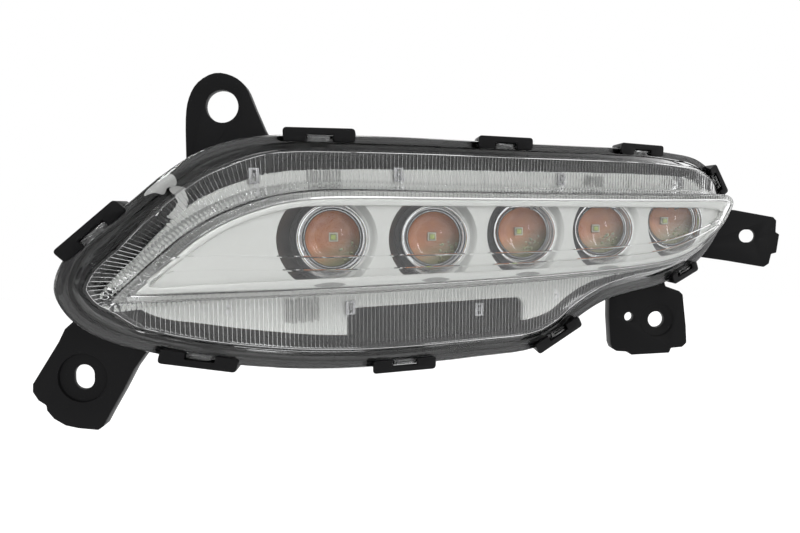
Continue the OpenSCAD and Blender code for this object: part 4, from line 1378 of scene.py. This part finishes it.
def beadField():
    # Beads of changing size at scattered points of a disc
    tree, keys, given = growTree("beadField", [
        ("count", "Count", "Int"), ("spread", "Spread", "Float"), ("radius", "Bead radius", "Float"),
        ("middle", "Middle", "Vector"), ("seed", "Seed", "Int"), ("finish", "Finish", "Material")])
    points = tree.nodes.new("GeometryNodePoints")
    angle, reach, size = [node(tree, "FunctionNodeRandomValue", data_type="FLOAT") for _ in range(3)]
    angle.inputs[randomSocket["high"]].default_value = 2 * math.pi
    size.inputs[randomSocket["low"]].default_value = speckle["sizes"][0]
    size.inputs[randomSocket["high"]].default_value = speckle["sizes"][1]
    turn, share = angle.outputs[randomSocket["result"]], reach.outputs[randomSocket["result"]]
    out = maths(tree, "MULTIPLY", maths(tree, "SQRT", share), given.outputs["Spread"])
    place = tree.nodes.new("ShaderNodeCombineXYZ")
    shift = node(tree, "ShaderNodeVectorMath", operation="ADD")
    bead = node(tree, "GeometryNodeMeshIcoSphere", in_Subdivisions=2)
    link(tree, (given.outputs["Count"], points.inputs["Count"]),
         (given.outputs["Seed"], angle.inputs["Seed"]),
         (maths(tree, "ADD", given.outputs["Seed"], speckle["otherSeed"]), reach.inputs["Seed"]),
         (maths(tree, "MULTIPLY", out, maths(tree, "COSINE", turn)), place.inputs["X"]),
         (maths(tree, "MULTIPLY", out, maths(tree, "SINE", turn)), place.inputs["Z"]),
         (place.outputs[0], shift.inputs[0]), (given.outputs["Middle"], shift.inputs[1]),
         (shift.outputs[0], points.inputs["Position"]), (given.outputs["Bead radius"], bead.inputs["Radius"]))
    copies = copiesOut(tree, given, points.outputs[0], bead.outputs["Mesh"])
    link(tree, (size.outputs[randomSocket["result"]], copies.inputs["Scale"]))
    return tree, keys


def grown(name, tree, keys, values):
    # Mesh piece out of a geometry nodes tree
    holder = linked(name, bpy.data.meshes.new(name))
    rows = holder.modifiers.new("rows", "NODES")
    rows.node_group = tree
    for key, value in values.items():
        rows[keys[key]] = value
    piece = applied(holder)
    piece.data.materials.clear()
    piece.data.materials.append(values["finish"])
    piece.data.polygons.foreach_set("material_index", [0] * len(piece.data.polygons))
    return piece


hatch = {
    # left end, foot, height and number of fins
    "patches": [(-9.0, 19.6, 5.2, 11), (110.2, 20.4, 5.0, 9), (-17.2, -31.6, 9.0, 11)],
    "pitch": 1.15,
    "fin": (0.55, 0.35),
    "jitter": 0.5,
    "above": 0.02,
}


def buildHatch():
    # Upright fins in patches on the trim
    tree, keys = finRow()
    thin, deep = hatch["fin"]
    parts = []
    for x, z, tall, count in hatch["patches"]:
        values = {"count": count, "size": [v / 1000 for v in (thin, deep, tall)],
                  "start": inMetres((x, 0.0, z + tall / 2)), "step": [hatch["pitch"] / 1000, 0.0, 0.0],
                  "jitter": hatch["jitter"] / 1000, "finish": look["hatchGrey"]}
        parts.append(onTrim(grown("hatchRow", tree, keys, values), deep / 2 + hatch["above"]))
    finish(joined(parts, "trimHatch"), "bezel")


speckle = {
    "count": 26,
    "spread": 3.3,
    "radius": 0.42,
    "sizes": (0.5, 1.25),
    "middle": (4.6, -4.4),
    "seed": 3,
    "otherSeed": 11,
}


def buildSpeckle():
    # Solder beads on the film beside each LED, towards its lower right corner
    tree, keys = beadField()
    right, up = speckle["middle"]
    parts = []
    for i in range(lamp["lights"]):
        lx, ly, lz = lightAt(i)
        values = {"count": speckle["count"], "spread": speckle["spread"] / 1000,
                  "radius": speckle["radius"] / 1000,
                  "middle": inMetres((lx + right, ly + film["front"], lz + up)),
                  "seed": speckle["seed"] + i, "finish": look["speckleGreen"]}
        parts.append(grown("speckle", tree, keys, values))
    finish(joined(parts, "filmBeads"), "flex_circuit")


keyShape = {
    # Pale moulded key in front of the rim at the upper left: outlines, each with its depth at back and front
    "rim": ([(-63.3, 14.9), (-61, 18.6), (-58, 21.6), (-54.6, 22.3), (-53.3, 20.4), (-53.6, 18.2),
             (-56.2, 17.6), (-57.2, 15.4), (-60.2, 15.9)], -10.42, -10.27),
    "inner": ([(-54.4, 17.2), (-51.6, 18.2), (-49.4, 16.6), (-48.9, 12.5), (-50.2, 9.6), (-53.4, 6.9),
               (-55.4, 7.4), (-53.2, 10.2), (-51.9, 12.8), (-53.0, 15.0)], -6.0, -5.6),
    "parts": 5,
    "grid": 2.0,
    "weld": 0.002,
}


def buildKey():
    shape = Shape()
    for points, back, front in (keyShape["rim"], keyShape["inner"]):
        line = smoothLine(points, keyShape["parts"])
        shape.region(line, [], atDepth(front), keyShape["grid"])
        shape.region(line, [], atDepth(back), keyShape["grid"], flip=True)
        shape.rings([ringOn(line, front), ringOn(line, back)])
    finish(shape.make("paleKey", look["paleKey"], weld=keyShape["weld"]), "bezel")


marks = {
    "size": (5.4, 0.9, 0.12),  # half length, half height and thickness
    "below": (15.6, 15.5, 15.0, 14.1),  # the first light, for each well that has one
    "depth": 23.02,
    "points": 32,
    "taper": 0.5,
    "weld": 0.002,
}


def buildMarks():
    # Small dark lens-shaped marks under each well but the last, thin plates just in front of the shelf
    shape = Shape()
    half, high, thick = marks["size"]
    turn = np.linspace(0, 2 * math.pi, marks["points"], endpoint=False)
    for i, below in enumerate(marks["below"]):
        x = lightAt(i)[0]
        line = [(x + half * math.sin(a), high * math.cos(a) * abs(math.cos(a)) ** marks["taper"] - below)
                for a in turn]
        shape.block(ringOn(line, marks["depth"] + thick), ringOn(line, marks["depth"]))
    finish(shape.make("shelfMarks", look["hatchGrey"], weld=marks["weld"]), "bezel")


buildHooks()
buildSpeckle()
buildClips()
buildHatch()
buildKey()
buildMarks()
print("small parts built")

# Studio
studio = {
    "camera": (0.0537, -0.352, -0.0369),
    "turn": (86.5, 0.0, -1.797),
    "lens": 43.02,
    "sensor": 36.0,
    "near": 0.01,
    "floor": -0.36,
    "floorSize": 6.0,
    "floorColour": (0.86, 0.86, 0.86),
    "floorRough": 0.9,
    "floorGlow": 0.62,
    "ambient": 0.6,
    # name: place, target, width, height, power
    "lamps": {
        "keyLeft": ((-0.9, -1.1, 1.1), (0.1, 0.0, -0.05), 1.2, 0.9, 1.4),
        "fillRight": ((1.2, -0.9, 0.5), (0.1, 0.0, -0.05), 1.0, 1.0, 0.9),
        "overhead": ((0.1, 0.1, 1.4), (0.1, 0.05, -0.05), 1.6, 1.0, 1.1),
        "stripRight": ((0.66, -1.0, 0.36), (0.12, 0.0, -0.05), 0.06, 0.55, 2.2),
    },
}


def seenShare(tree):
    # 1 for the camera's rays, also once reflected or let through, and 0 for the light that falls on things
    path = tree.nodes.new("ShaderNodeLightPath")
    seen = maths(tree, "MAXIMUM", path.outputs["Is Camera Ray"], path.outputs["Is Glossy Ray"])
    return maths(tree, "MAXIMUM", seen, path.outputs["Is Transmission Ray"])


def buildCamera(scene):
    data = bpy.data.cameras.new("photoCamera")
    data.lens = studio["lens"]
    data.sensor_width = studio["sensor"]
    data.clip_start = studio["near"]
    camera = linked("photoCamera", data)
    camera.location = studio["camera"]
    camera.rotation_euler = [math.radians(a) for a in studio["turn"]]
    scene.camera = camera


def buildLamps():
    for name, (place, target, width, height, power) in studio["lamps"].items():
        data = bpy.data.lights.new(name, "AREA")
        data.shape = "RECTANGLE"
        data.size, data.size_y, data.energy = width, height, power
        made = linked(name, data)
        made.location = place
        made.rotation_euler = (Vector(target) - Vector(place)).to_track_quat("-Z", "Y").to_euler()


def buildWorld(scene):
    # White where it is seen, and softer as light
    world = scene.world or bpy.data.worlds.new("studioWorld")
    scene.world = world
    world.use_nodes = True
    tree = world.node_tree
    background = tree.nodes["Background"]
    background.inputs["Color"].default_value = (1, 1, 1, 1)
    spread = node(tree, "ShaderNodeMapRange", in_To_Min=studio["ambient"], in_To_Max=1.0)
    link(tree, (seenShare(tree), spread.inputs["Value"]),
         (spread.outputs["Result"], background.inputs["Strength"]))


def buildFloor():
    half, z = studio["floorSize"] / 2, studio["floor"]
    mesh = bpy.data.meshes.new("studioFloor")
    mesh.from_pydata([(-half, -half, z), (half, -half, z), (half, half, z), (-half, half, z)], [],
                     [(0, 1, 2, 3)])
    material, tree, shader = newMaterial("paleFloor")
    shader.inputs["Base Color"].default_value = (*studio["floorColour"], 1)
    shader.inputs["Roughness"].default_value = studio["floorRough"]
    glow = node(tree, "ShaderNodeEmission")
    total = tree.nodes.new("ShaderNodeAddShader")
    link(tree, (maths(tree, "MULTIPLY", seenShare(tree), studio["floorGlow"]), glow.inputs["Strength"]),
         (shader.outputs[0], total.inputs[0]), (glow.outputs[0], total.inputs[1]),
         (total.outputs[0], tree.nodes["Material Output"].inputs["Surface"]))
    mesh.materials.append(material)
    floor = linked("studioFloor", mesh)


scene = bpy.context.scene
scene.view_settings.view_transform = "Standard"
buildCamera(scene)
buildLamps()
buildWorld(scene)
buildFloor()
print("studio built")
